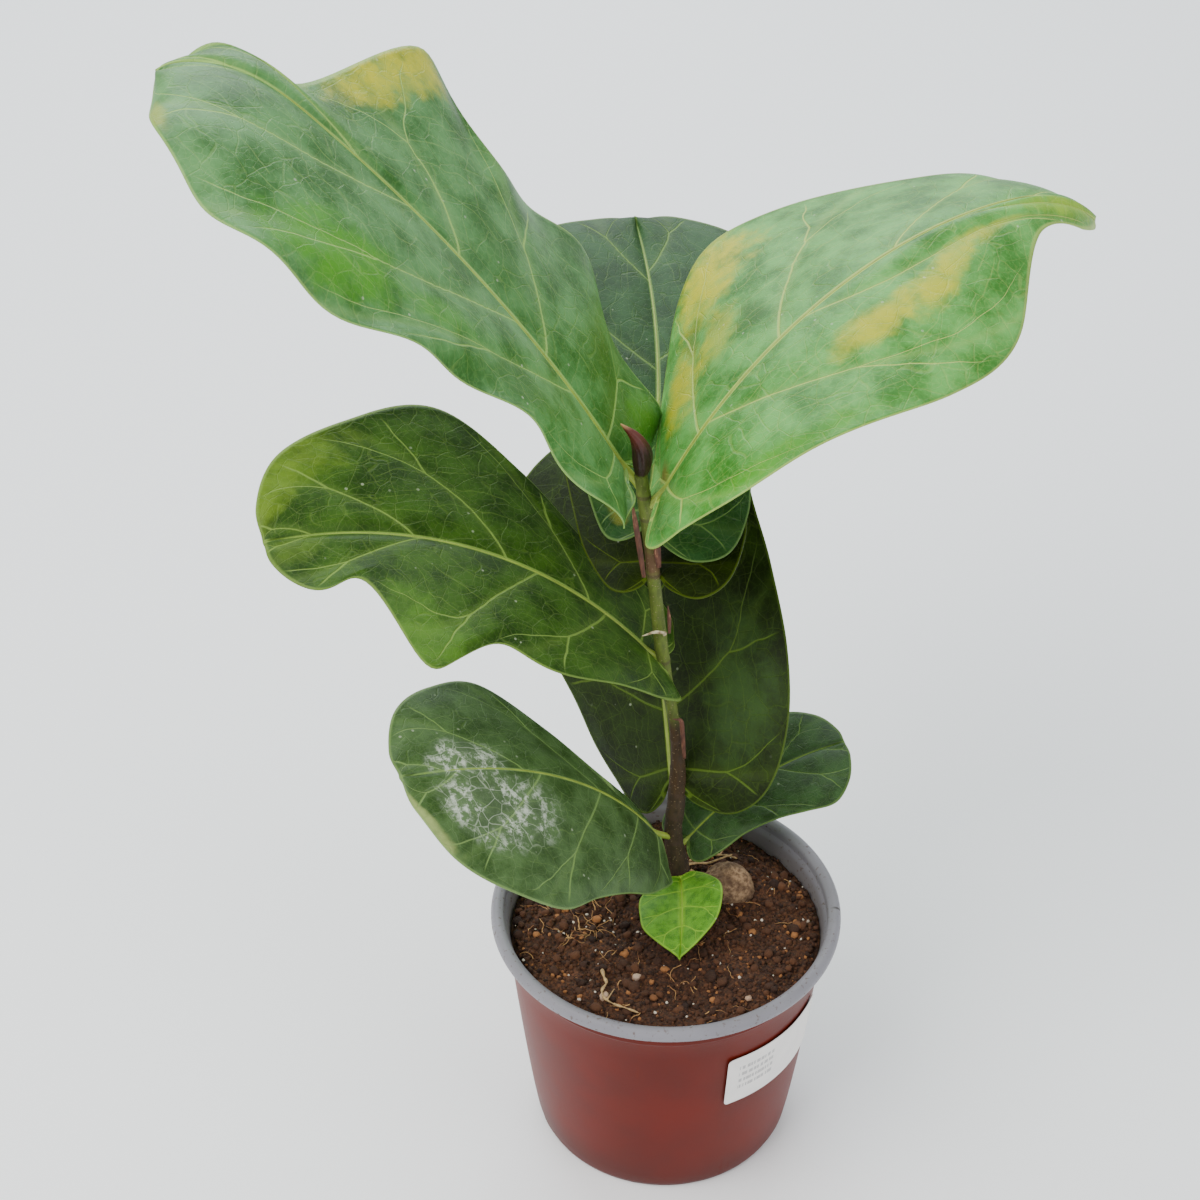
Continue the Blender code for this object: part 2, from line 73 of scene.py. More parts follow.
class Wire:
    """A shader socket that Python's operators work on: every sum adds its own Math node"""

    def __init__(self, finish, socket):
        self.finish, self.socket = finish, socket

    def sum(self, operation, *values):
        return self.finish.node("Math", {"operation": operation}, dict(enumerate(values)))

    def __add__(self, other):
        return self.sum("ADD", self, other)

    def __sub__(self, other):
        return self.sum("SUBTRACT", self, other)

    def __rsub__(self, other):
        return self.sum("SUBTRACT", other, self)

    def __mul__(self, other):
        return self.sum("MULTIPLY", self, other)

    def __truediv__(self, other):
        return self.sum("DIVIDE", self, other)

    def __pow__(self, other):
        return self.sum("POWER", self, other)

    def __abs__(self):
        return self.sum("ABSOLUTE", self)

    __radd__, __rmul__ = __add__, __mul__

    def fract(self):
        return self.sum("FRACT", self)

    def floor(self):
        return self.sum("FLOOR", self)

    def over(self, limit):
        return self.sum("MAXIMUM", self, limit)

    def under(self, limit):
        return self.sum("MINIMUM", self, limit)

    def fade(self, low, high):
        """0 up to low, 1 from high on, smooth between; with low above high it falls instead of rising"""
        if not isinstance(low, Wire) and not isinstance(high, Wire) and low > high:
            return 1 - self.fade(high, low)
        return self.finish.node("MapRange", {"interpolation_type": "SMOOTHSTEP"}, {0: self, 1: low, 2: high})


class Finish:
    """One material under way, round a Principled shader"""

    def __init__(self, name, roughness=0.5, **constants):
        self.material = bpy.data.materials.new(name)
        self.material.use_nodes = True
        self.tree = self.material.node_tree
        self.shader = self.tree.nodes["Principled BSDF"]
        self.shader.inputs["Roughness"].default_value = roughness
        for socket, value in constants.items():
            self.shader.inputs[socket.replace("_", " ")].default_value = value

    def node(self, kind, settings=None, sockets=None, out=0):
        """Any shader node: its settings first, then values or wires on its sockets, by name or number"""
        made = self.tree.nodes.new("ShaderNode" + kind)
        for setting, value in (settings or {}).items():
            setattr(made, setting, value)
        for key, value in (sockets or {}).items():
            if isinstance(value, Wire):
                self.tree.links.new(value.socket, made.inputs[key])
            else:
                made.inputs[key].default_value = value
        return Wire(self, made.outputs[out])

    def mix(self, amount, low, high):
        """Two colours, or wires that carry them, mixed by an amount"""
        low, high = ((c if isinstance(c, Wire) else (*c, 1)) for c in (low, high))
        return self.node("Mix", {"data_type": "RGBA", "clamp_factor": True}, {0: amount, 6: low, 7: high}, 2)

    def toned(self, amount, colour, darkest):
        """The colour, going down to a share of itself where the amount is 0"""
        return self.mix(amount, [c * darkest for c in colour], colour)

    def cloud(self, size, where=None, detail=3.0, rough=0.55, out=0):
        """Noise whose lumps are about size metres across"""
        where = where or self.place()
        return self.node("TexNoise", {}, {"Vector": where, "Scale": 1 / size, "Detail": detail, "Roughness": rough},
                         out)

    def cells(self, size, where=None, feature="DISTANCE_TO_EDGE"):
        """Cells about size metres across: the distance to their walls, or to their middles with F1"""
        return self.node("TexVoronoi", {"feature": feature}, {"Vector": where or self.place(), "Scale": 1 / size})

    def place(self):
        return self.node("TexCoord", out=3)

    def drawn(self, height):
        """The place for a texture drawn out along the height, the more the smaller the number"""
        return self.node("Mapping", {}, {0: self.place(), 3: (1, 1, height)})

    def layer(self, name):
        return self.node("UVMap", {"uv_map": name})

    def attribute(self, name):
        return self.node("Attribute", {"attribute_name": name}, out=2)

    def parts(self, vector):
        """The three numbers of a vector"""
        return [self.node("SeparateXYZ", {}, {0: vector}, k) for k in range(3)]

    def shift(self, vector, by, amount):
        """A vector pushed about by a colour's noise"""
        push = self.node("VectorMath", {"operation": "MULTIPLY_ADD"},
                         {0: by, 1: (amount,) * 3, 2: (-amount / 2,) * 3})
        return self.node("VectorMath", {"operation": "ADD"}, {0: vector, 1: push})

    def done(self, colour, roughness=None, height=None):
        """Wires what varies to the shader; height in metres makes the bump"""
        wires = {"Base Color": colour, "Roughness": roughness}
        if height is not None:
            wires["Normal"] = self.node("Bump", {}, {"Height": height, "Distance": 1.0, "Strength": 1.0})
        for socket, wire in wires.items():
            if wire is not None:
                self.tree.links.new(wire.socket, self.shader.inputs[socket])
        return self.material


# ---- making pieces -------------------------------------------------------------------------------------


def as_mesh(name, bm):
    mesh = bpy.data.meshes.new(name)
    bm.to_mesh(mesh)
    bm.free()
    return mesh


def as_object(name, data):
    made = bpy.data.objects.new(name, data)
    bpy.context.scene.collection.objects.link(made)
    return made


def finish_piece(name, bm, finishes, nodes=(), outward=True):
    """The bmesh as a piece of the plant, riding on its body and standing for its CAD nodes"""
    if outward:
        bmesh.ops.recalc_face_normals(bm, faces=bm.faces)
    return mesh_piece(name, as_mesh(name, bm), finishes, nodes)


def mesh_piece(name, mesh, finishes, nodes=()):
    """The same for a mesh"""
    piece = as_object(name, mesh)
    for finish in finishes:
        mesh.materials.append(finish)
    mesh.polygons.foreach_set("use_smooth", [True] * len(mesh.polygons))
    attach(piece, "root")
    if nodes:
        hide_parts(*nodes)
    return piece


def through(points, shares):
    """Smooth curve through the points (Catmull-Rom), at shares of its length from 0 to 1"""
    points = np.asarray(points, float)
    last = len(points) - 1
    ends = np.vstack([2 * points[0] - points[1], points, 2 * points[-1] - points[-2]])
    place = np.clip(np.asarray(shares, float), 0, 1) * last
    i = np.minimum(place.astype(int), last - 1)
    u = (place - i)[..., None]
    a, b, c, d = ends[i], ends[i + 1], ends[i + 2], ends[i + 3]
    return 0.5 * (2 * b + (c - a) * u + (2 * a - 5 * b + 4 * c - d) * u ** 2 + (3 * b - a - 3 * c + d) * u ** 3)


def ease(value, low, high):
    """0 up to low, 1 from high on, smooth between"""
    share = np.clip((np.asarray(value, float) - low) / (high - low), 0, 1)
    return share * share * (3 - 2 * share)


def turned(bm, row, edges, steps):
    """Turns a row of points and the edges between them once round the axis"""
    bmesh.ops.spin(bm, geom=row + edges, cent=(0, 0, 0), axis=(0, 0, 1), dvec=(0, 0, 0), angle=2 * pi,
                   steps=steps, use_merge=True)
    bmesh.ops.remove_doubles(bm, verts=bm.verts, dist=1e-6)


def swept(bm, points, radii, rings, sides, flat=1.0, across=(0, 1, 0)):
    """A ring drawn along the points by extruding it, with one radius for each point"""
    shares = np.linspace(0, 1, rings + 1)
    centres = [Vector(p) for p in through(points, shares)]
    sizes = through([(r,) for r in radii], shares)[:, 0].clip(0.04 * MM)
    frames = []
    for k, centre in enumerate(centres):
        along = (centres[min(k + 1, rings)] - centres[max(k - 1, 0)]).normalized()
        side = along.cross(Vector(across)).normalized()
        turn = Matrix((side, side.cross(along) * -1, along)).transposed().to_4x4()
        frames.append(Matrix.Translation(centre) @ turn @ Matrix.Diagonal((sizes[k], sizes[k] * flat, 1, 1)))
    ring = bmesh.ops.create_circle(bm, segments=sides, radius=1, matrix=frames[0])["verts"]
    edges = list({edge for v in ring for edge in v.link_edges})
    bmesh.ops.contextual_create(bm, geom=edges)
    made = list(ring)
    for last, here in zip(frames, frames[1:]):
        grown = bmesh.ops.extrude_edge_only(bm, edges=edges)["geom"]
        ring = [g for g in grown if isinstance(g, bmesh.types.BMVert)]
        edges = [g for g in grown if isinstance(g, bmesh.types.BMEdge) and all(v in ring for v in g.verts)]
        bmesh.ops.transform(bm, matrix=here @ last.inverted(), verts=ring)
        made += ring
    bmesh.ops.contextual_create(bm, geom=edges)
    return made


def strands(name, lines, depth, finish, nodes=(), resolution=2):
    """Thin round strands as one mesh: each line is its points and its radius at each point"""
    curve = bpy.data.curves.new(name, "CURVE")
    curve.dimensions, curve.bevel_depth, curve.bevel_resolution, curve.use_fill_caps = "3D", depth, resolution, True
    curve.twist_mode = "MINIMUM"
    for points, radii in lines:
        spline = curve.splines.new("POLY")
        spline.points.add(len(points) - 1)
        spline.points.foreach_set("co", np.hstack([np.asarray(points, float), np.ones((len(points), 1))]).ravel())
        spline.points.foreach_set("radius", np.asarray(radii, float) / depth)
    shaped = as_object(name, curve)
    bpy.context.view_layer.update()
    mesh = bpy.data.meshes.new_from_object(shaped.evaluated_get(bpy.context.evaluated_depsgraph_get()))
    bpy.data.objects.remove(shaped)
    return mesh_piece(name, mesh, [finish], nodes)


# ---- sizes and colours a user would change ---------------------------------------------------------------


def length(name, text, default):
    return FloatProperty(name=name, description=text, default=default, min=0, precision=4, subtype="DISTANCE",
                         unit="LENGTH")


def colour(name, text, default):
    return FloatVectorProperty(name=name, description=text, default=default, size=3, min=0, max=1, subtype="COLOR")


class PotSizes(PropertyGroup):
    """The nursery pot and its label"""
    height: length("Height", "From the ground to the top of the rim", POT_HIGH[2])
    rim_radius: length("Rim radius", "To the outside of the rolled rim", POT_HIGH[0])
    lip_width: length("Lip width", "Of the rolled rim, seen from above", 6.2 * MM)
    lip_height: length("Lip height", "Of the rolled rim", 6.5 * MM)
    overhang: length("Overhang", "How far the rim stands out from the wall", 5.6 * MM)
    wall: length("Wall", "Thickness of the plastic", 1.5 * MM)
    foot_taper: length("Foot taper", "How much smaller the foot is than the top of the wall", 15 * MM)
    drains: IntProperty(name="Drains", description="Notches cut in the foot", default=8, min=0)
    drain_width: length("Drain width", "Of a notch in the foot", 13 * MM)
    drain_height: length("Drain height", "Of a notch in the foot", 7.5 * MM)
    terracotta: colour("Terracotta", "Colour of the outside", tint(92, 17, 1))
    grey: colour("Rim grey", "Colour of the rim and the inside", tint(134, 132, 138))
    paper: colour("Paper", "Colour of the blank label", tint(232, 228, 224))


class SoilSizes(PropertyGroup):
    """The potting soil and what lies on it"""
    drop: length("Drop", "Soil level under the top of the rim", SOIL_DROP)
    crumbs: IntProperty(name="Crumbs", description="Loose crumbs on the soil", default=4200, min=0)
    crumb: length("Crumb size", "Radius of a usual crumb", 1.0 * MM)
    fibres: IntProperty(name="Fibres", description="Loose coir fibres", default=90, min=0)
    dark: colour("Dark", "Wet soil between the crumbs", tint(40, 20, 9))
    light: colour("Light", "Dry crumbs", tint(112, 68, 38))
    perlite: colour("Perlite", "White grains", tint(226, 214, 196))
    root: colour("Root", "Pale roots and coir", tint(206, 170, 116))


class StemSizes(PropertyGroup):
    """The stem, its bud and its dry scales"""
    bark: colour("Bark", "Old bark near the soil", tint(66, 50, 28))
    young: colour("Young bark", "Reddish bark half way up", tint(66, 44, 12))
    green: colour("Green stem", "The newest growth", tint(96, 112, 34))
    bud: colour("Bud", "Sheath of the bud", tint(58, 26, 26))
    tip: colour("Bud tip", "Tip of the sheath", tint(88, 32, 22))
    dry: colour("Dry scale", "Dead scales at the nodes", tint(104, 62, 44))


class LeafSizes(PropertyGroup):
    """What all leaves share"""
    thickness: length("Thickness", "Of a blade", 0.6 * MM)
    vein: length("Vein width", "Of a side vein where it leaves the midrib", 1.5 * MM)
    midrib: length("Midrib width", "On a large leaf, at the stalk", 3.4 * MM)
    quilt: length("Quilting", "How far the blade swells between side veins", 1.5 * MM)
    back: colour("Underside", "Colour of a blade's underside", tint(128, 160, 56))
    rib: colour("Rib", "Colour of stalks and raised ribs", tint(150, 170, 60))


class StageSizes(PropertyGroup):
    """Floor, light and camera"""
    floor: colour("Floor", "Colour of the plain floor", (0.97, 0.97, 0.97))
    sky: FloatProperty(name="Sky", description="Strength of the light from all round", default=0.85, min=0)
    key: FloatProperty(name="Key", description="Power of the large soft light", default=42, min=0, unit="POWER")
    back: FloatProperty(name="Back light", description="Power of the light behind and above", default=46, min=0,
                        unit="POWER")


SIZES = {"fig_pot": PotSizes, "fig_soil": SoilSizes, "fig_stem": StemSizes, "fig_leaf": LeafSizes,
         "fig_stage": StageSizes}

# ---- pot and label -------------------------------------------------------------------------------------


def wall_top(pot):
    """Outside of the wall where the rim begins"""
    return pot.rim_radius - pot.overhang - pot.lip_width * 0.2


def wall_radius(pot, height):
    """Outside of the wall: a straight taper that tucks in near the foot"""
    share = max(height, 0) / (pot.height - pot.lip_height)
    return wall_top(pot) - pot.foot_taper * (1 - share ** 0.8)


def pot_finishes(pot):
    out = []
    for name, base in (("terracotta plastic", pot.terracotta), ("grey plastic", pot.grey)):
        f = Finish(name, Coat_Roughness=0.3, Specular_IOR_Level=0.18)
        x, y, z = f.parts(f.place())
        drift = f.cloud(40 * MM, detail=4)
        streaks = f.cloud(9 * MM, f.drawn(0.16), detail=5, rough=0.7)
        scuffs = streaks.fade(0.60, 0.78) * f.cloud(24 * MM).fade(0.45, 0.62)
        grain = f.cloud(0.5 * MM, detail=2)
        if name == "grey plastic":
            shade = f.toned(drift.fade(0.3, 0.7), base, 0.86)
            dirt = f.cloud(2.2 * MM, detail=5).fade(0.58, 0.70) * 0.7
            shade = f.mix(dirt, shade, tint(92, 74, 60))
            from_axis = x * x + y * y
            # Painted shade: the grey turns darker and browner inside the rim, where the inside of the pot lies in
            # shade
            inside = from_axis.fade((pot.rim_radius - 7 * MM) ** 2, (pot.rim_radius - 9 * MM) ** 2)
            shade = f.mix(inside * 0.5, shade, tint(96, 84, 76))
            crack = abs(y.sum("ARCTAN2", y, x) - radians(-2)).fade(0.012, 0.004)
            crack = crack * from_axis.fade((79 * MM) ** 2, (83.5 * MM) ** 2)
            shade = f.mix(crack * 0.8, shade, tint(60, 52, 48))
            rough = 0.38 + drift * 0.1 + dirt * 0.4
            height = grain * 0.02 * MM - crack * 0.3 * MM
        else:
            shade = f.mix(drift.fade(0.3, 0.7), [c * 0.82 for c in base], [min(c * 1.12, 1) for c in base])
            # Painted shade: the terracotta darkens over the bottom 30 mm of the wall, towards the floor
            shade = f.mix(z.fade(30 * MM, 0 * MM) * 0.35, shade, tint(54, 16, 8))
            shade = f.mix(scuffs * 0.12, shade, tint(160, 84, 62))
            dust = f.cloud(3 * MM, detail=6, rough=0.75).fade(0.62, 0.75)
            shade = f.mix(dust * 0.07, shade, tint(150, 84, 62))
            rough = 0.36 + drift * 0.12 + scuffs * 0.25
            height = grain * 0.03 * MM + streaks * 0.05 * MM
        out.append(f.done(shade, rough, height))
    return out


class FIG_OT_pot(Operator):
    """Turns the pot from its profile and cuts the drain notches"""
    bl_idname = "fig.pot"
    bl_label = "Pot"

    def execute(self, context):
        pot = context.scene.fig_pot
        lip_base, floor, on_axis = pot.height - pot.lip_height, 4 * MM, 1e-9
        top = wall_top(pot)
        foot = top - pot.foot_taper
        middle = pot.rim_radius - pot.lip_width / 2
        outside = [(foot - 1.6 * MM, 0), (foot - 0.5 * MM, 0.6 * MM)]
        outside += [(wall_radius(pot, z), z) for z in np.linspace(0.03, 0.88, 18) * lip_base]
        outside += [(top - 0.3 * MM, lip_base - 10 * MM), (top - 0.1 * MM, lip_base - 9.3 * MM),
                    (top + 0.45 * MM, lip_base - 8.7 * MM),
                    (top + 0.6 * MM, lip_base - 8 * MM), (top + 0.6 * MM, lip_base - 0.4 * MM)]
        lip = through([(top + 0.7 * MM, lip_base), (pot.rim_radius - 1.3 * MM, lip_base),
                       (pot.rim_radius - 0.1 * MM, lip_base + 1.3 * MM),
                       (pot.rim_radius, pot.height - 2.8 * MM), (pot.rim_radius - 1.1 * MM, pot.height - 0.8 * MM),
                       (middle + 0.3 * MM, pot.height), (middle - 1.5 * MM, pot.height - 0.5 * MM),
                       (pot.rim_radius - pot.lip_width, pot.height - 2.2 * MM),
                       (pot.rim_radius - pot.lip_width - 0.2 * MM, lip_base)], np.linspace(0, 1, 33))
        inside = [(top - pot.wall, lip_base - 3 * MM)]
        inside += [(wall_radius(pot, z) - pot.wall, z) for z in np.linspace(0.85, 0.10, 8) * lip_base]
        inside += [(foot - 3.6 * MM, floor + pot.wall), (0, floor + pot.wall)]
        base = [(0, 0), (16 * MM, 0), (17 * MM, 0.6 * MM), (18 * MM, floor - 1 * MM), (foot - 7.2 * MM, floor),
                (foot - 5 * MM, floor - 0.8 * MM),
                (foot - 3.2 * MM, 0.4 * MM), (foot - 2.8 * MM, 0)]
        profile = [*outside, *map(tuple, lip), *inside, *base]
        bm = bmesh.new()
        row = [bm.verts.new((r, 0, z)) for r, z in profile]
        edges = [bm.edges.new(pair) for pair in zip(row, row[1:] + row[:1])]
        turned(bm, row, [e for e in edges if not all(v.co.x < on_axis for v in e.verts)], steps=160)
        bmesh.ops.delete(bm, geom=[e for e in bm.edges if not e.link_faces], context="EDGES")
        bmesh.ops.recalc_face_normals(bm, faces=bm.faces)
        for face in bm.faces:
            centre = face.calc_center_median()
            radius = Vector((centre.x, centre.y)).length
            inner = radius < wall_radius(pot, centre.z) - 0.7 * MM
            inner = inner or (centre.z > lip_base - 3.1 * MM and radius < top + 0.3 * MM)
            face.material_index = int(centre.z > lip_base - 0.3 * MM or (centre.z > floor + 1 * MM and inner))
        cutter = bmesh.new()
        first_drain, block = -119, Matrix.Diagonal((14 * MM, pot.drain_width, pot.drain_height, 1))
        outwards = Matrix.Translation((foot - 2 * MM, 0, pot.drain_height / 2 - 1 * MM))
        for k in range(pot.drains):
            turn = Matrix.Rotation(radians(first_drain + 360 * k / pot.drains), 4, "Z")
            made = bmesh.ops.create_cube(cutter, size=1, matrix=block)["verts"]
            for v in made:
                v.co.y *= 0.7 if v.co.z > 0 else 1
            bmesh.ops.bevel(cutter, geom=list({e for v in made for e in v.link_edges}), offset=1.4 * MM,
                            offset_type="OFFSET", segments=3, profile=0.5, affect="EDGES", material=-1)
            new = [v for v in cutter.verts if not v.tag]
            bmesh.ops.transform(cutter, matrix=turn @ outwards, verts=new)
            for v in new:
                v.tag = True
        blank, tool = as_object("pot_blank", as_mesh("pot", bm)), as_object("drain_tool",
                                                                            as_mesh("drain_cutter", cutter))
        cut = blank.modifiers.new("drains", "BOOLEAN")
        cut.object, cut.operation, cut.solver = tool, "DIFFERENCE", "EXACT"
        context.view_layer.update()
        mesh = bpy.data.meshes.new_from_object(blank.evaluated_get(context.evaluated_depsgraph_get()))
        for thing in (blank, tool):
            bpy.data.objects.remove(thing)
        piece = mesh_piece("nursery_pot", mesh, pot_finishes(pot), ["pot"])
        sharp = piece.modifiers.new("edges", "WEIGHTED_NORMAL")
        sharp.keep_sharp = True
        return {"FINISHED"}


class FIG_OT_label(Operator):
    """Wraps the blank paper label round the wall"""
    bl_idname = "fig.label"
    bl_label = "Label"

    def execute(self, context):
        pot = context.scene.fig_pot
        low, high, start, end = 0.49 * pot.height, 0.745 * pot.height, radians(-68), radians(-20)
        bm = bmesh.new()
        bmesh.ops.create_grid(bm, x_segments=60, y_segments=34, size=1)
        sheet = bm.loops.layers.uv.new("Sheet")
        for face in bm.faces:
            for loop in face.loops:
                loop[sheet].uv = ((loop.vert.co.x + 1) / 2, (loop.vert.co.y + 1) / 2)
        middle, tall, corner = (low + high) / 2, (high - low) / 2, 2.4 * MM
        wide = (end - start) * wall_radius(pot, middle) / 2
        for v in bm.verts:
            x, y = v.co.x * wide, v.co.y * tall
            dx, dy = abs(x) - (wide - corner), abs(y) - (tall - corner)
            if dx > 0 and dy > 0:
                reach = max(dx, dy) / (dx * dx + dy * dy) ** 0.5
                x, y = (np.sign(x) * (wide - corner + dx * reach), np.sign(y) * (tall - corner + dy * reach))
            z = middle + y
            lift = 0.25 * MM * ease(-x, wide - 6 * MM, wide) + 0.12 * MM * noise.noise(Vector((x, y, 0)) * 70)
            angle = (start + end) / 2 + x / wall_radius(pot, middle)
            radius = wall_radius(pot, z) + 0.85 * MM + lift
            v.co = (radius * cos(angle), radius * sin(angle), z)
        f = Finish("label paper", 0.55)
        u, v, _ = f.parts(f.layer("Sheet"))
        grain = f.cloud(0.4 * MM, detail=2)
        shade = f.mix(f.cloud(14 * MM).fade(0.35, 0.7) * 0.5, pot.paper, [c * 0.86 for c in pot.paper])
        row = v * 7.2 + 0.15
        lines = abs(row.fract() - 0.5).fade(0.30, 0.22)
        spot = f.node("CombineXYZ", {}, {0: u * 46, 1: row.floor() * 9})
        marks = f.node("TexNoise", {"noise_dimensions": "2D"}, {"Vector": spot, "Scale": 1.0, "Detail": 1.0})
        marks = marks.fade(0.42, 0.50)
        block = u.fade(0.10, 0.11) * u.fade(0.44, 0.43) * v.fade(0.24, 0.25) * v.fade(0.84, 0.83)
        shade = f.mix(lines * marks * block * 0.75, shade, tint(150, 146, 148))
        paper = f.done(shade, None, grain * 0.03 * MM)
        piece = finish_piece("label_paper", bm, [paper], ["label"], outward=False)
        solid = piece.modifiers.new("paper", "SOLIDIFY")
        solid.thickness, solid.offset = 0.25 * MM, 1
        return {"FINISHED"}


# ---- soil ----------------------------------------------------------------------------------------------

CLOD_AT, CLOD_RADII = (32 * MM, 26 * MM), (13 * MM, 12 * MM, 10 * MM)


def soil_height(x, y, level):
    """Gently uneven soil, a little higher round the stem, as the solid soil has it"""
    swell = sin(95 * x + 1.0) * cos(80 * y) + 0.6 * sin(170 * y + 60 * x)
    mound = 2.2 * MM * np.exp(-((x - 10 * MM) ** 2 + (y - 30 * MM) ** 2) / (28 * MM) ** 2)
    return level + 1.1 * MM * swell + mound


def soil_top(x, y, level):
    """The crumbly surface itself"""
    here = Vector((x, y, 0))
    lumps = noise.fractal(here * 140, 0.8, 2.2, 5) * 1.5 * MM + abs(noise.noise(here * 330)) * 1.1 * MM
    return soil_height(x, y, level) + lumps - 0.6 * MM


def soil_finish(name, soil, loose=False):
    f = Finish(name, 0.9)
    damp = f.cloud(26 * MM, detail=4)
    crumb = f.cloud(1.6 * MM, detail=5, rough=0.7)
    fine = f.cloud(0.5 * MM, detail=3)
    shade = f.mix(crumb.fade(0.35, 0.68), soil.dark, soil.light)
    shade = f.mix(damp.fade(0.30, 0.62) * 0.6, shade, soil.dark)
    if loose:
        kind = f.attribute("kind")
        shade = f.mix(kind * (0.4 + fine * 0.6), soil.dark, soil.light)
        shade = f.mix(kind.fade(0.90, 0.93) * 0.8, shade, tint(176, 116, 66))
        shade = f.mix(kind.fade(0.965, 0.97), shade, soil.perlite)
    else:
        grains = f.cells(1.3 * MM, feature="F1")
        shade = f.mix(grains.fade(0.22, 0.10) * f.cloud(6 * MM).fade(0.55, 0.65) * 0.7, shade, tint(196, 150, 104))
    return f.done(shade, 0.82 + fine * 0.15, crumb * 0.8 * MM + fine * 0.3 * MM)


class FIG_OT_soil(Operator):
    """Turns the soil plug, roughens its top, and scatters crumbs, grains and fibres on it"""
    bl_idname = "fig.soil"
    bl_label = "Soil"

    def execute(self, context):
        pot, soil = context.scene.fig_pot, context.scene.fig_soil
        level = pot.height - soil.drop
        edge = wall_radius(pot, level) - pot.wall - 0.35 * MM
        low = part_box("soil")[0][2]
        bm = bmesh.new()
        line = [(r, level) for r in np.linspace(0, 1, 110) ** 0.75 * edge]
        line += [(wall_radius(pot, z) - pot.wall - 0.5 * MM, z) for z in np.linspace(level - 4 * MM, low + 8 * MM, 8)]
        line += [(wall_radius(pot, low) - pot.wall - 5 * MM, low), (0, low)]
        row = [bm.verts.new((r, 0, z)) for r, z in line]
        turned(bm, row, [bm.edges.new(pair) for pair in zip(row, row[1:])], steps=260)
        for v in bm.verts:
            if abs(v.co.z - level) < 1e-6:
                v.co.z = soil_top(v.co.x, v.co.y, level) - 2 * MM * ease(v.co.xy.length, edge - 5 * MM, edge)
        finish_piece("soil_plug", bm, [soil_finish("potting soil", soil)], ["soil"])

        chance = random.Random(11)
        shapes = []
        for k in range(5):
            crumb = bmesh.new()
            bmesh.ops.create_icosphere(crumb, subdivisions=1 if k else 2, radius=1)
            for v in crumb.verts:
                v.co *= 0.8 + 0.45 * chance.random()
            shapes.append(as_mesh(f"crumb_{k}", crumb))
            shapes[-1].attributes.new("kind", "FLOAT", "POINT")
        bm = bmesh.new()
        for _ in range(soil.crumbs):
            r, a = (edge - 1.5 * MM) * chance.random() ** 0.5, 2 * pi * chance.random()
            x, y = r * cos(a), r * sin(a)
            kind = chance.random()
            size = soil.crumb * (0.35 + 0.8 * chance.random() + 1.6 * chance.random() ** 9)
            if kind > 0.97:
                size = soil.crumb * (0.35 + 0.5 * chance.random())
            shape = shapes[0 if size > 1.7 * MM else chance.randint(1, 4)]
            shape.attributes["kind"].data.foreach_set("value", [kind] * len(shape.vertices))
            squash = (size * (0.8 + 0.5 * chance.random()), size * (0.8 + 0.5 * chance.random()), size * 0.75)
            place = (Matrix.Translation((x, y, soil_top(x, y, level) + size * 0.25))
                     @ Matrix.Rotation(2 * pi * chance.random(), 4, "Z")
                     @ Matrix.Rotation(0.8 * chance.random(), 4, "X") @ Matrix.Diagonal((*squash, 1)))
            shape.transform(place)
            bm.from_mesh(shape)
            shape.transform(place.inverted())
        loose = soil_finish("loose crumbs", soil, loose=True)
        finish_piece("soil_crumbs", bm, [loose], outward=False)

        f = Finish("coir fibre", 0.8)
        tone = f.cloud(5 * MM)
        fibre = f.done(f.mix(tone.fade(0.3, 0.7), tint(120, 66, 34), tint(214, 168, 108)))
        lines, steps = [], 9
        for k in range(soil.fibres):
            r, a = (edge - 6 * MM) * chance.random() ** 0.5, 2 * pi * chance.random()
            if k % 3 == 0:
                r, a = 32 * MM + 20 * MM * chance.random(), radians(150 + 40 * chance.random())
            x, y, way = r * cos(a), r * sin(a), 2 * pi * chance.random()
            points = []
            for step in range(steps):
                x, y = x + cos(way) * 1.3 * MM, y + sin(way) * 1.3 * MM
                way += (chance.random() - 0.5) * 1.1
                if x * x + y * y < (edge - 2 * MM) ** 2:
                    arch = 0.7 * MM + 0.9 * MM * sin(pi * step / (steps - 1))
                    points.append((x, y, soil_top(x, y, level) + arch))
            if len(points) > 3:
                thick = 0.10 * MM + 0.16 * MM * chance.random()
                lines.append((points, np.linspace(thick, thick * 0.5, len(points))))
        strands("coir_fibres", lines, 0.2 * MM, fibre, resolution=1)
        return {"FINISHED"}


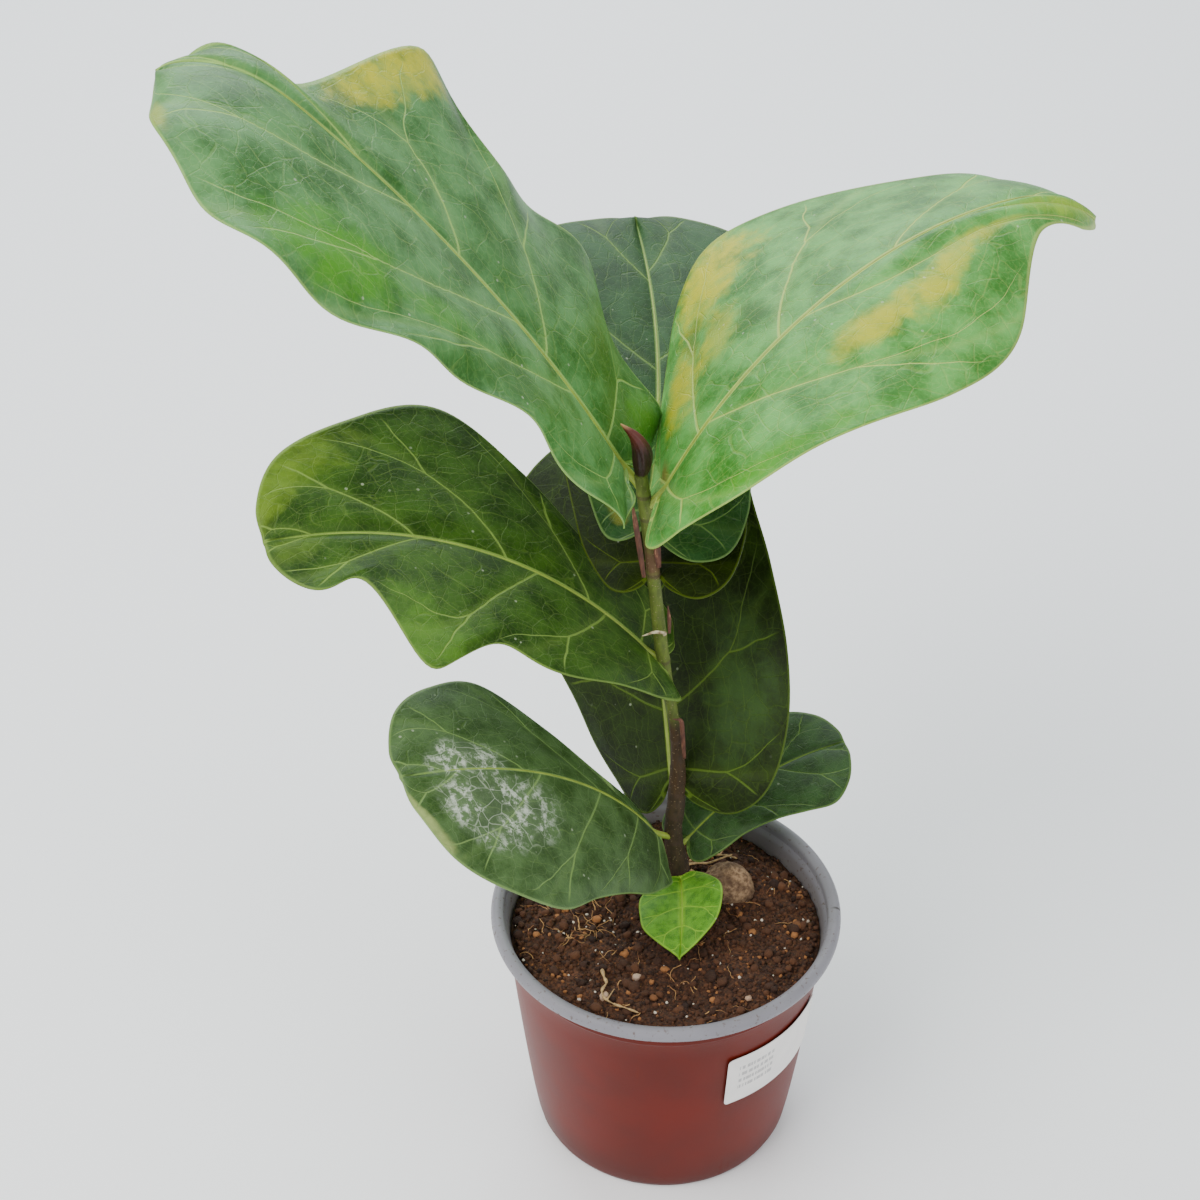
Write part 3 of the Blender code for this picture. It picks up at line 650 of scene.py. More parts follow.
class FIG_OT_litter(Operator):
    """Puts the hard clod and the pale roots on the soil"""
    bl_idname = "fig.litter"
    bl_label = "Clod and roots"

    def execute(self, context):
        pot, soil = context.scene.fig_pot, context.scene.fig_soil
        level = pot.height - soil.drop
        bm = bmesh.new()
        bmesh.ops.create_icosphere(bm, subdivisions=6, radius=1)
        for v in bm.verts:
            x, y, z = v.co
            bulge = 1 + 0.06 * sin(4 * x + 3 * y) + 0.05 * cos(5 * z + 2 * x)
            rough = 0.035 * noise.fractal(v.co * 5, 0.9, 2.1, 6) + 0.03 * abs(noise.noise(v.co * 11))
            v.co = Vector([n * r * (bulge + rough) for n, r in zip((x, y, z), CLOD_RADII)])
            v.co += Vector((*CLOD_AT, level + 2 * MM))
        f = Finish("hard clod", 0.85)
        crumb = f.cloud(2.2 * MM, detail=6, rough=0.7)
        shade = f.mix(crumb.fade(0.32, 0.66), tint(92, 66, 44), tint(168, 136, 102))
        shade = f.mix(f.cloud(9 * MM).fade(0.48, 0.64) * 0.6, shade, tint(70, 46, 30))
        finish_piece("hard_clod", bm, [f.done(shade, None, crumb * 0.7 * MM)], ["clod"])

        f = Finish("root skin", 0.7)
        band = f.cloud(1.2 * MM, detail=4)
        skin = f.done(f.toned(band.fade(0.35, 0.7), soil.root, 0.55), None, band * 0.2 * MM)
        plans = {"root_1": ([(13, 41), (17, 43.5), (22, 45), (28, 46), (33, 45), (37, 43)], 0.9),
                 "root_2": ([(-31, -33), (-30, -38), (-29, -42), (-31, -47), (-30, -52), (-25, -56), (-20, -58),
                             (-14, -61)], 1.0)}
        steps, fork = 40, 24
        for name, (plan, thick) in plans.items():
            flat = through([(x * MM, y * MM) for x, y in plan], np.linspace(0, 1, steps))
            points = [(x, y, soil_height(x, y, level) + (thick + 0.9) * MM) for x, y in flat]
            radii = [thick * MM * (0.8 + 0.25 * sin(k * 0.9) - 0.45 * k / steps) for k in range(steps)]
            x, y, z = points[fork]
            side = [(x + 0.7 * MM * k, y + 1.2 * MM * k, z + 0.25 * MM * k) for k in range(6)]
            lines = [(points, radii), (side, [0.4 * MM - 0.05 * MM * k for k in range(6)])]
            strands(name + "_skin", lines, 0.8 * MM, skin, [name], 3)
        rootlets = [[(12, 31, 131), (17, 33, 130), (22, 35, 128), (28, 36, 130), (34, 38, 131)],
                    [(13, 29, 129), (18, 27, 126), (20, 23, 124), (19, 19, 122)]]
        lines = []
        for plan in rootlets:
            points = through(np.array(plan) * MM + np.array([0, 0, level - 120 * MM]), np.linspace(0, 1, 24))
            lines.append((points, np.linspace(0.75 * MM, 0.35 * MM, 24)))
        strands("rootlets", lines, 0.7 * MM, skin)
        return {"FINISHED"}


# ---- stem, bud and scales ------------------------------------------------------------------------------

STEM_PATH = ((9, 30, -14), (7, 30, 12), (4, 30.5, 32), (5.5, 31, 60), (4.5, 31.5, 92), (0.5, 33, 118),
             (-3, 33, 142), (-7, 33, 180), (-9, 33, 201), (-12, 33, 226), (-14, 33, 243))
STEM_RADII = (6.2, 5.0, 4.4, 4.3, 3.0, 2.9, 3.2, 3.0, 3.0, 3.1, 3.0)
STEM_NODES = (10, 29, 45, 60, 92, 139, 189, 220, 232)
STEM_FOOT, STEM_TOP = STEM_PATH[0][2], STEM_PATH[-1][2]
LEVEL = POT_HIGH[2] - SOIL_DROP


def stem_at(height):
    """Centre of the stem at a height above the soil in mm"""
    x, y, z = zip(*STEM_PATH)
    return np.array([np.interp(height, z, x), np.interp(height, z, y), height]) * MM + np.array([0, 0, LEVEL])


class FIG_OT_stem(Operator):
    """Draws the stem with its bark and leaf scars"""
    bl_idname = "fig.stem"
    bl_label = "Stem"

    def execute(self, context):
        stem = context.scene.fig_stem
        bm = bmesh.new()
        points = [(x * MM, y * MM, z * MM + LEVEL) for x, y, z in STEM_PATH]
        made = swept(bm, points, [r * MM for r in STEM_RADII], rings=200, sides=28)
        for v in made:
            height = (v.co.z - LEVEL) / MM
            centre = Vector(stem_at(np.clip(height, STEM_FOOT, STEM_TOP)))
            out = Vector((v.co.x - centre.x, v.co.y - centre.y, 0))
            wave = 1.5 * sin(3 * out.angle(Vector((1, 0, 0)), 0))
            scar = sum(np.exp(-((height - node - wave) / 1.1) ** 2) for node in STEM_NODES)
            old = 1 - ease(height, 55, 100)
            bark = noise.fractal(Vector((v.co.x, v.co.y, v.co.z * 0.5)) * 420, 0.9, 2.1, 4) * (0.28 * old + 0.05)
            v.co += out.normalized() * (bark + 0.32 * scar) * MM if out.length > 1e-6 else Vector()
        f = Finish("bark", 0.8)
        x, y, z = f.parts(f.place())
        z = z - LEVEL
        ridges = f.cloud(2.4 * MM, f.drawn(0.35), detail=6, rough=0.7)
        lenticels = f.cells(2.2 * MM, f.drawn(1.6), "F1").fade(0.20, 0.12)
        shade = f.toned(ridges.fade(0.3, 0.65), stem.bark, 0.45)
        middle = f.toned(ridges.fade(0.3, 0.7), stem.young, 0.5)
        fresh = f.toned(ridges.fade(0.35, 0.7), stem.green, 0.6)
        where = z + (f.cloud(6 * MM) - 0.5) * 14 * MM
        shade = f.mix(where.fade(56 * MM, 66 * MM), shade, middle)
        shade = f.mix(where.fade(98 * MM, 112 * MM), shade, fresh)
        shade = f.mix(where.fade(186 * MM, 194 * MM) * where.fade(212 * MM, 200 * MM) * 0.8, shade, tint(98, 60, 46))
        shade = f.mix(lenticels * 0.5, shade, tint(170, 146, 110))
        for node in STEM_NODES:
            shade = f.mix(abs(z - node * MM).fade(1.3 * MM, 0.5 * MM) * 0.55, shade, tint(62, 44, 30))
        skin = f.done(shade, 0.6 + ridges * 0.3, ridges * 0.6 * MM + lenticels * 0.15 * MM)
        finish_piece("stem_bark", bm, [skin], ["stem"])
        return {"FINISHED"}


class FIG_OT_bud(Operator):
    """Draws the curved sheath of the bud at the top"""
    bl_idname = "fig.bud"
    bl_label = "Bud"

    def execute(self, context):
        stem = context.scene.fig_stem
        top, tall = stem_at(STEM_TOP), 27 * MM
        path = [top + np.array(p) * MM for p in ((0, 0, -0.6), (0.5, -1, 7), (0, -1.5, 14), (-3, -1.5, 21),
                                                 (-9, -1, 27))]
        bm = bmesh.new()
        made = swept(bm, path, [r * MM for r in (2.6, 4.3, 4.2, 2.5, 0.3)], rings=70, sides=36)
        for v in made:
            rise = (v.co.z - top[2]) / tall
            middle = through(path, [np.clip(rise, 0, 1)])[0]
            out = v.co - Vector(middle)
            turn = Vector((out.x, out.y)).angle_signed(Vector((1, 0)), 0) if out.xy.length > 1e-7 else 0
            v.co += out * (0.05 * sin(9 * turn + 3 * rise) + 0.06 * np.exp(-((turn - 0.6 - 1.5 * rise) / 0.12) ** 2))
        f = Finish("bud sheath", 0.42)
        _, _, z = f.parts(f.place())
        rise = (z - top[2]) / tall
        fibre = f.cloud(1.4 * MM, f.drawn(0.18), detail=4)
        shade = f.toned(fibre.fade(0.3, 0.7), stem.bud, 0.5)
        shade = f.mix(rise.fade(0.48, 0.86), shade, stem.tip)
        shade = f.mix(rise.fade(0.90, 1.0) * 0.7, shade, tint(196, 150, 96))
        shade = f.mix(rise.fade(0.08, -0.02), shade, stem.green)
        finish_piece("bud_sheath", bm, [f.done(shade, 0.36 + fibre * 0.2, fibre * 0.25 * MM)], ["bud"])
        return {"FINISHED"}


class FIG_OT_scales(Operator):
    """Draws the dry scales left at the nodes"""
    bl_idname = "fig.scales"
    bl_label = "Dry scales"

    def execute(self, context):
        stem = context.scene.fig_stem
        f = Finish("dry scale", 0.75)
        fibre = f.cloud(1.6 * MM, f.drawn(0.25), detail=5)
        shade = f.toned(fibre.fade(0.3, 0.7), stem.dry, 0.4)
        shade = f.mix(fibre.fade(0.60, 0.72) * 0.6, shade, tint(176, 132, 96))
        dry = f.done(shade, None, fibre * 0.3 * MM)
        pale = Finish("pale dry scale", 0.7)
        tone = pale.cloud(2 * MM)
        pale = pale.done(pale.mix(tone.fade(0.3, 0.7), tint(120, 96, 64), tint(206, 196, 160)))
        scales = {
            "scale_1": ([(3.6, -5.0, 84), (3.8, -5.4, 100), (4.0, -5.4, 107), (0.4, -6.0, 108.5)], 1.1, dry),
            "scale_2": ([(2.0, -4.6, 157), (2.4, -5.6, 159), (-2, -6.4, 160.2), (-8, -7.2, 158.5)], 0.9, pale),
            "scale_3": ([(4.6, -4.2, 158), (5.2, -4.4, 166), (5.3, -4.4, 174)], 0.9, dry),
            "scale_4": ([(-4.2, -4.2, 190), (-4.6, -5.0, 204), (-4.9, -5.0, 220), (-5.2, -4.6, 232)], 1.3, dry),
            "scale_5": ([(3.0, -5.0, 196), (3.2, -5.6, 206), (4.2, -5.4, 216)], 1.6, dry),
        }
        for name, (path, half_width, finish) in scales.items():
            bm = bmesh.new()
            points = [stem_at(z) + np.array([x, y, 0]) * MM for x, y, z in path]
            radii = [half_width * k * MM for k in (0.7, 1.0, 0.9, 0.35)][:len(points) - 1] + [0.2 * MM]
            swept(bm, points, radii, rings=36, sides=16, flat=0.4, across=(0, -1, 0.2))
            for v in bm.verts:
                v.co += Vector((0, 0.35 * MM * noise.noise(v.co * 500), 0))
            finish_piece(name + "_dry", bm, [finish], [name])
        return {"FINISHED"}


# ---- leaves --------------------------------------------------------------------------------------------


def heading(pitch, azimuth):
    p, a = np.radians(pitch), np.radians(azimuth)
    return np.stack([np.cos(p) * np.cos(a), np.cos(p) * np.sin(a), np.sin(p)], -1)


CURVE_STEPS = 120
FULL_LENGTH = 260 * MM
CURL_WIDTH = 0.33


def by_half(right, pair):
    """What each point's half of the leaf has: the first of the pair on the left, the second on the right"""
    return np.where(right, pair[1], pair[0])


class Leaf:
    """A fiddle-shaped blade on a stalk. Angles in degrees, lengths in mm, widths as shares of the blade's length.

    pitch and azimuth aim the midrib where it leaves the stalk; droop and sweep change them towards the tip, and nod
    bends the last quarter further; roll and twist turn the blade about its midrib. fold lifts each half from the
    midrib like an open book, and curl bends it further towards the margin. A half's widths are auricle, waist,
    shoulder and crown, from the stalk to the tip, and lobe is how far it hangs past the stalk. Each bump moves the
    margin: its half, its rib, how far, and its spread. veins lists the ribs of each half that carry a side vein,
    slant is how far they lean towards the tip, and wave is how tall the margin's ruffles are, how many there are,
    and where they start. Leaves shorter than FULL_LENGTH have finer veins and quilting.
    """

    def __init__(self, height, stalk, azimuth, pitch, length, droop=-40, nod=0, sweep=0, roll=0, twist=0,
                 stalk_pitch=35,
                 stalk_azimuth=None, fold=(10, 10), fold_tip=None, curl=(0, 0), curl_tip=None, lobe=(0.075, 0.075),
                 left=(0.20, 0.22, 0.32, 0.33), right=(0.20, 0.22, 0.32, 0.33), bumps=(), oval=False,
                 veins=((0.2, 0.5, 0.8), (0.2, 0.5, 0.8)),
                 slant=(0.09, 0.09), wave=(1.5, 4.0, 0.0), seed=1):
        self.azimuth, self.length = azimuth, length * MM
        self.size = min(self.length / FULL_LENGTH, 1)
        self.sweep, self.roll, self.twist = sweep, roll, twist
        self.fold, self.fold_tip, self.curl, self.curl_tip = fold, fold_tip or fold, curl, curl_tip or curl
        self.lobe, self.widths, self.bumps, self.oval = lobe, (left, right), bumps, oval
        self.veins, self.slant, self.wave, self.seed = veins, slant, wave, seed
        self.root = stem_at(height)
        self.base = self.root + heading(stalk_pitch, azimuth if stalk_azimuth is None else stalk_azimuth) * stalk * MM
        steps = np.linspace(0, 1, CURVE_STEPS + 1)
        bends = droop * steps + nod * np.clip(4 * steps - 3, 0, 1) ** 2
        self.tangents = heading(pitch + bends, azimuth + sweep * steps)
        middle = (self.tangents[1:] + self.tangents[:-1]) / 2
        self.centres = np.vstack([np.zeros(3), np.cumsum(middle, 0)]) * self.length / CURVE_STEPS + self.base

    def outline(self, half):
        """(where its rib leaves the midrib, along, out) round the margin from the stalk to the tip"""
        auricle, waist, shoulder, crown = self.widths[half]
        lobe = self.lobe[half]
        if self.oval:
            return [(0, 0, 0), (0.02, -0.5 * lobe, 0.5 * auricle), (0.05, 0.02, auricle), (0.12, 0.13, waist),
                    (0.26, 0.30, shoulder), (0.42, 0.50, shoulder), (0.60, 0.69, crown), (0.76, 0.85, 0.55 * crown),
                    (0.90, 0.94, 0.22 * crown), (1, 1, 0)]
        return [(0, 0, 0), (0, -0.7 * lobe, 0.22 * auricle), (0.005, -lobe, 0.58 * auricle),
                (0.02, -0.45 * lobe, 0.93 * auricle), (0.07, 0.09, 0.55 * auricle + 0.5 * waist), (0.15, 0.24, waist),
                (0.27, 0.42, 0.5 * (waist + shoulder)), (0.41, 0.61, shoulder), (0.57, 0.79, crown),
                (0.75, 0.93, 0.7 * crown), (0.90, 0.995, 0.30 * crown), (1, 1, 0)]

    def spine(self, x):
        """Centres, sides and normals of the blade at shares x of its length; x below 0 carries on past the stalk"""
        held = np.clip(x, 0, 1)
        i = np.minimum((held * CURVE_STEPS).astype(int), CURVE_STEPS - 1)
        u = (held * CURVE_STEPS - i)[:, None]
        tangent = self.tangents[i] * (1 - u) + self.tangents[i + 1] * u
        tangent /= np.linalg.norm(tangent, axis=1, keepdims=True)
        centre = self.centres[i] * (1 - u) + self.centres[i + 1] * u + tangent * (x - held)[:, None] * self.length
        a, r = np.radians(self.azimuth + self.sweep * held), np.radians(self.roll + self.twist * held)[:, None]
        level = np.stack([np.sin(a), -np.cos(a), 0 * a], -1)
        lift = np.cross(level, tangent)
        return centre, np.cos(r) * level - np.sin(r) * lift, np.sin(r) * level + np.cos(r) * lift

    def surface(self, q, t, relief=None):
        """Points, normals, distances along and out in metres, on ribs q at shares t of the way to the margin

        t is below 0 on the left half.
        """
        q, t = np.asarray(q, float), np.asarray(t, float)
        right, t = t >= 0, np.abs(t)
        ribs = [through(self.outline(half), q) for half in (0, 1)]
        root, along, out = by_half(right[:, None], ribs).T
        for side, at, size, spread in self.bumps:
            bump = size * np.exp(-((q - at) / spread) ** 2) * np.minimum(1, 10 * (1 - q))
            out = out + np.where(right == bool(side), bump, 0)
        root = np.clip(root, 0, 1)
        x = root + (along - root) * t ** 1.25
        centre, side, normal = self.spine(x)
        side = side * np.where(right, 1, -1)[:, None]
        held = np.clip(x, 0, 1)
        width, straight = CURL_WIDTH * self.length, 1e-4
        out = np.maximum(out, 0) * t * self.length
        bend = np.radians(by_half(right, self.curl) * (1 - held) + by_half(right, self.curl_tip) * held)
        bend = np.where(np.abs(bend) < straight, straight, bend)
        start = np.radians(by_half(right, self.fold) * (1 - held) + by_half(right, self.fold_tip) * held)
        end = start + bend * out / width
        place = centre + side * (width * (np.sin(end) - np.sin(start)) / bend)[:, None]
        place = place - normal * (width * (np.cos(end) - np.cos(start)) / bend)[:, None]
        tilt = (end * np.minimum(1, 8 * out / width))[:, None]
        facing = normal * np.cos(tilt) - side * np.sin(tilt)
        if relief is not None:
            place = place + facing * relief(q, t, right, out)[:, None]
        return place, facing, x * self.length, out * np.where(right, 1, -1)

    def lean(self, q, right):
        """How far a side vein has moved towards the tip when it reaches the margin"""
        return by_half(right, self.slant) * ease(q, 0.1, 0.7)

    def counted(self, q, right, t=0.0):
        """Side veins run where this is a whole number: the first at 1, the next at 2"""
        q = q - self.lean(q, right) * np.abs(t)
        both = []
        for places in self.veins:
            marks = [-places[0], *places, 2 - places[-1]]
            both.append(np.interp(q, marks, range(len(marks))))
        return by_half(right, both)

    def relief(self, quilt):
        """How far the blade stands off its smooth form: quilting, a groove along the midrib, a ruffled margin"""
        def height(q, t, right, out):
            size = self.size
            crest = np.abs(np.sin(pi * self.counted(q, right, t))) ** 0.7
            panel = ease(t, 0.02, 0.22) * (1 - ease(t, 0.78, 1.0)) * ease(q, 0.12, 0.3)
            groove = -0.8 * MM * np.exp(-(out / (2.6 * MM * size)) ** 2)
            tall, waves, phase = self.wave
            ends = ease(q, 0.05, 0.2) * (1 - ease(q, 0.88, 1.0))
            turn = 2 * pi * (waves * q + phase + 0.37 * right)
            ruffle = tall * MM * t ** 3 * ends * np.sin(turn + 1.3 * np.sin(9 * q + self.seed))
            broad = 1.6 * MM * size * t * np.sin(5.1 * q + self.seed) * np.cos(4 * t + self.seed * 1.7)
            return quilt * size * crest * panel + groove * ease(q, 0.02, 0.12) + ruffle + broad
        return height


LEAVES = {
    "leaf_1": Leaf(234, 15, 182, 62, 278, stalk_pitch=50, stalk_azimuth=155, droop=-23, nod=-73, sweep=-3, roll=-7,
                   twist=6,
                   fold=(3, 10), fold_tip=(0, -6), curl=(1, -22), curl_tip=(-11, 29), lobe=(0.02, 0.08),
                   left=(0.167, 0.217, 0.345, 0.328), right=(0.229, 0.313, 0.374, 0.07),
                   bumps=((0, 0.44, -0.014, 0.06), (0, 0.55, -0.021, 0.06), (0, 0.66, 0.005, 0.06),
                          (0, 0.77, 0.039, 0.06),
                          (0, 0.88, 0.025, 0.06), (1, 0.20, 0.029, 0.06), (1, 0.32, -0.022, 0.06),
                          (1, 0.44, 0.051, 0.06),
                          (1, 0.55, -0.059, 0.06), (1, 0.66, 0.010, 0.06), (1, 0.77, 0.004, 0.06)),
                   veins=((0.12, 0.30, 0.46, 0.57, 0.72, 0.88), (0.12, 0.34, 0.52, 0.66, 0.77, 0.90)),
                   slant=(0.20, 0.04),
                   wave=(3.2, 7.0, 0.1), seed=1),
    "leaf_2": Leaf(225, 9, 31, 58, 287, stalk_pitch=45, stalk_azimuth=0, droop=-82, nod=-30, sweep=4, roll=-18,
                   twist=20, fold=(-9, 10), fold_tip=(-13, -29), curl=(0, -13), curl_tip=(0, -59), lobe=(0.03, 0.06),
                   left=(0.07, 0.386, 0.39, 0.234), right=(0.139, 0.258, 0.25, 0.081),
                   bumps=((0, 0.32, -0.035, 0.06), (0, 0.44, -0.004, 0.06), (0, 0.55, 0.065, 0.06),
                          (0, 0.66, -0.028, 0.06),
                          (1, 0.32, -0.009, 0.06), (1, 0.44, -0.014, 0.06), (1, 0.55, 0.027, 0.06),
                          (1, 0.66, -0.026, 0.06)),
                   veins=((0.14, 0.28, 0.42, 0.57, 0.71, 0.86), (0.14, 0.28, 0.44, 0.60, 0.75, 0.88)),
                   slant=(0.12, 0.22),
                   wave=(1.6, 3.4, 0.4), seed=2),
    "leaf_3": Leaf(207, 8.5, 82, 18, 208, stalk_azimuth=98, droop=-10, sweep=18, roll=8, twist=-3, fold=(-2, -8),
                   fold_tip=(6, 4), lobe=(0.06, 0.07), left=(0.11, 0.18, 0.32, 0.33), right=(0.20, 0.22, 0.32, 0.33),
                   veins=((0.12, 0.30, 0.48, 0.66, 0.82), (0.12, 0.30, 0.50, 0.68, 0.84)), wave=(1.2, 3.0, 0.2),
                   seed=3),
    "leaf_4": Leaf(139, 6, 171, 49, 198, stalk_azimuth=182, droop=-50, sweep=29, roll=-11, twist=-7, fold=(19, -12),
                   fold_tip=(-2, 17), lobe=(0.10, 0.06), left=(0.14, 0.31, 0.36, 0.21),
                   right=(0.19, 0.18, 0.37, 0.29),
                   bumps=((0, 0.73, -0.065, 0.04), (0, 0.66, 0.06, 0.035), (0, 0.56, -0.05, 0.045)),
                   veins=((0.12, 0.28, 0.46, 0.60, 0.76, 0.90), (0.14, 0.32, 0.50, 0.65, 0.77, 0.90)),
                   wave=(1.0, 3.6, 0.7), seed=4),
    "leaf_5": Leaf(30, 12, 208, 61, 167, stalk_azimuth=222, droop=-53, sweep=-1, roll=-27, twist=7, fold=(-3, -32),
                   fold_tip=(-2, -7), lobe=(0.08, 0.04), left=(0.17, 0.30, 0.43, 0.38),
                   right=(0.05, 0.08, 0.36, 0.32),
                   veins=((0.12, 0.28, 0.44, 0.58, 0.72, 0.86), (0.30, 0.44, 0.58, 0.75, 0.89)), wave=(1.2, 3.2, 0.3),
                   seed=5),
    "leaf_6": Leaf(185, 5, 85, 16, 180, droop=-30, sweep=7, roll=-10, twist=7, fold=(0, 2), fold_tip=(4, 9),
                   lobe=(0.07, 0.10), left=(0.14, 0.23, 0.30, 0.30), right=(0.21, 0.23, 0.30, 0.30),
                   veins=((0.12, 0.30, 0.50, 0.70, 0.86), (0.09, 0.28, 0.48, 0.68, 0.86)), wave=(1.0, 3.0, 0.5),
                   seed=6),
    "leaf_7": Leaf(61, 6, 97, 51, 211, droop=-47, sweep=3, roll=-29, stalk_azimuth=130, fold=(-14, 1),
                   fold_tip=(3, 10),
                   lobe=(0.08, 0.09), left=(0.15, 0.25, 0.36, 0.34), right=(0.25, 0.32, 0.30, 0.35),
                   veins=((0.12, 0.28, 0.46, 0.64, 0.82), (0.12, 0.28, 0.46, 0.64, 0.82)), wave=(1.0, 3.0, 0.8),
                   seed=7),
    "leaf_8": Leaf(21, 9, 33, 37, 93, droop=-34, sweep=-16, roll=7, twist=6, fold=(3, 5), fold_tip=(2, 1),
                   left=(0.20, 0.22, 0.32, 0.29), right=(0.19, 0.23, 0.33, 0.35),
                   veins=((0.14, 0.34, 0.54, 0.74), (0.14, 0.34, 0.54, 0.74, 0.88)), wave=(0.6, 3.0, 0.1), seed=8),
    "leaf_9": Leaf(5, 9, 272, 5, 57, droop=-9, sweep=-8, roll=12, fold=(18, 12), lobe=(0.02, 0.02), oval=True,
                   left=(0.15, 0.27, 0.38, 0.32), right=(0.14, 0.26, 0.36, 0.32),
                   veins=((0.12, 0.26, 0.40, 0.54, 0.68, 0.82), (0.12, 0.26, 0.40, 0.54, 0.68, 0.82)),
                   wave=(0.4, 2.0, 0.2), seed=9),
}

# Each leaf's greens, the colour of its veins, its roughness and its shine. Its marks are (rib, side, length, width,
# colour, strength), and chalk is where white powder lies: (rib, side, length, width).
# Painted light: the bright saturated green stands for light shining through a blade from behind
GOLD, BACKLIT_GREEN, MOSS, CHALK = tint(186, 182, 12), tint(70, 140, 2), tint(38, 88, 2), tint(200, 208, 192)
LOOKS = {
    # Painted light: leaf_1's bright saturated green patches are light shining through the blade from behind
    "leaf_1": dict(deep=tint(36, 86, 16), fresh=tint(84, 136, 74), vein=tint(150, 186, 92), gloss=0.38,
                   marks=[(0.67, 0.92, 0.05, 0.16, GOLD, 0.95), (0.70, -0.74, 0.06, 0.22, BACKLIT_GREEN, 0.9),
                          (0.51, -0.70, 0.06, 0.22, MOSS, 0.85),
                          (0.61, -0.56, 0.04, 0.14, BACKLIT_GREEN, 0.5), (0.36, 0.35, 0.10, 0.34, MOSS, 0.65),
                          (0.24, 0.62, 0.08, 0.34, BACKLIT_GREEN, 0.6),
                          (0.58, 0.22, 0.06, 0.2, MOSS, 0.55), (0.88, -0.94, 0.03, 0.08, GOLD, 0.4)]),
    # Painted light: leaf_2's bright saturated green patch near the right margin is light shining through the blade
    "leaf_2": dict(deep=tint(46, 108, 24), fresh=tint(96, 164, 76), vein=tint(176, 196, 92), gloss=0.38,
                   marks=[(0.53, -0.82, 0.07, 0.26, GOLD, 0.95), (0.42, -0.50, 0.07, 0.26, GOLD, 0.9),
                          (0.51, -0.42, 0.04, 0.16, GOLD, 0.55),
                          (0.56, -0.30, 0.025, 0.12, MOSS, 0.8), (0.47, -0.62, 0.02, 0.12, MOSS, 0.7),
                          (0.60, 0.42, 0.05, 0.11, GOLD, 0.8),
                          (0.67, 0.54, 0.06, 0.11, GOLD, 0.8), (0.735, 0.64, 0.04, 0.08, GOLD, 0.5),
                          (0.42, 0.88, 0.08, 0.14, BACKLIT_GREEN, 0.7),
                          (0.30, -0.28, 0.03, 0.22, tint(150, 100, 30), 0.7),
                          (0.87, 0.55, 0.08, 0.42, tint(150, 184, 20), 0.7)]),
    "leaf_3": dict(deep=tint(24, 54, 16), fresh=tint(44, 80, 40), vein=tint(110, 140, 70), gloss=0.40, shine=0.2,
                   marks=[(0.30, -0.55, 0.05, 0.2, tint(170, 160, 50), 0.4)]),
    # Painted light: leaf_4's paler marks brighten its tip and left margin, where the light from the left falls
    "leaf_4": dict(deep=tint(28, 54, 4), fresh=tint(54, 86, 20), vein=tint(124, 152, 66), gloss=0.42, shine=0.2,
                   marks=[(0.86, 0.94, 0.12, 0.30, tint(130, 160, 46), 0.5),
                          (0.92, -0.5, 0.05, 0.5, tint(110, 140, 40), 0.3),
                          (0.66, -0.90, 0.05, 0.26, tint(90, 136, 36), 0.5)]),
    "leaf_5": dict(deep=tint(44, 70, 26), fresh=tint(74, 102, 56), vein=tint(120, 150, 80), gloss=0.42,
                   marks=[(0.90, -0.95, 0.08, 0.10, tint(170, 184, 110), 0.7),
                          (0.36, -0.3, 0.14, 0.5, tint(28, 50, 10), 0.7)],
                   chalk=((0.79, -0.40, 0.12, 0.36), (0.84, 0.15, 0.08, 0.36))),
    # Painted shade: leaf_6's colours are darkened to stand for the shade cast by the leaves above it
    "leaf_6": dict(deep=tint(18, 28, 0), fresh=tint(28, 42, 2), vein=tint(80, 98, 20), gloss=0.5, shine=0.12,
                   marks=[]),
    # Painted shade and light: leaf_7's colours are darkened for the shade of the leaves above, and its lighter patch
    # on the right half is painted light where light falls on it
    "leaf_7": dict(deep=tint(18, 28, 0), fresh=tint(34, 52, 8), vein=tint(86, 110, 34), gloss=0.46, shine=0.15,
                   marks=[(0.42, 0.64, 0.12, 0.3, tint(60, 92, 40), 0.5)]),
    "leaf_8": dict(deep=tint(28, 54, 14), fresh=tint(48, 80, 34), vein=tint(100, 130, 56), gloss=0.40, marks=[]),
    "leaf_9": dict(deep=tint(60, 116, 8), fresh=tint(98, 156, 30), vein=tint(150, 196, 50), gloss=0.40,
                   marks=[(0.5, 0.0, 0.5, 0.12, tint(150, 196, 40), 0.6)]),
}


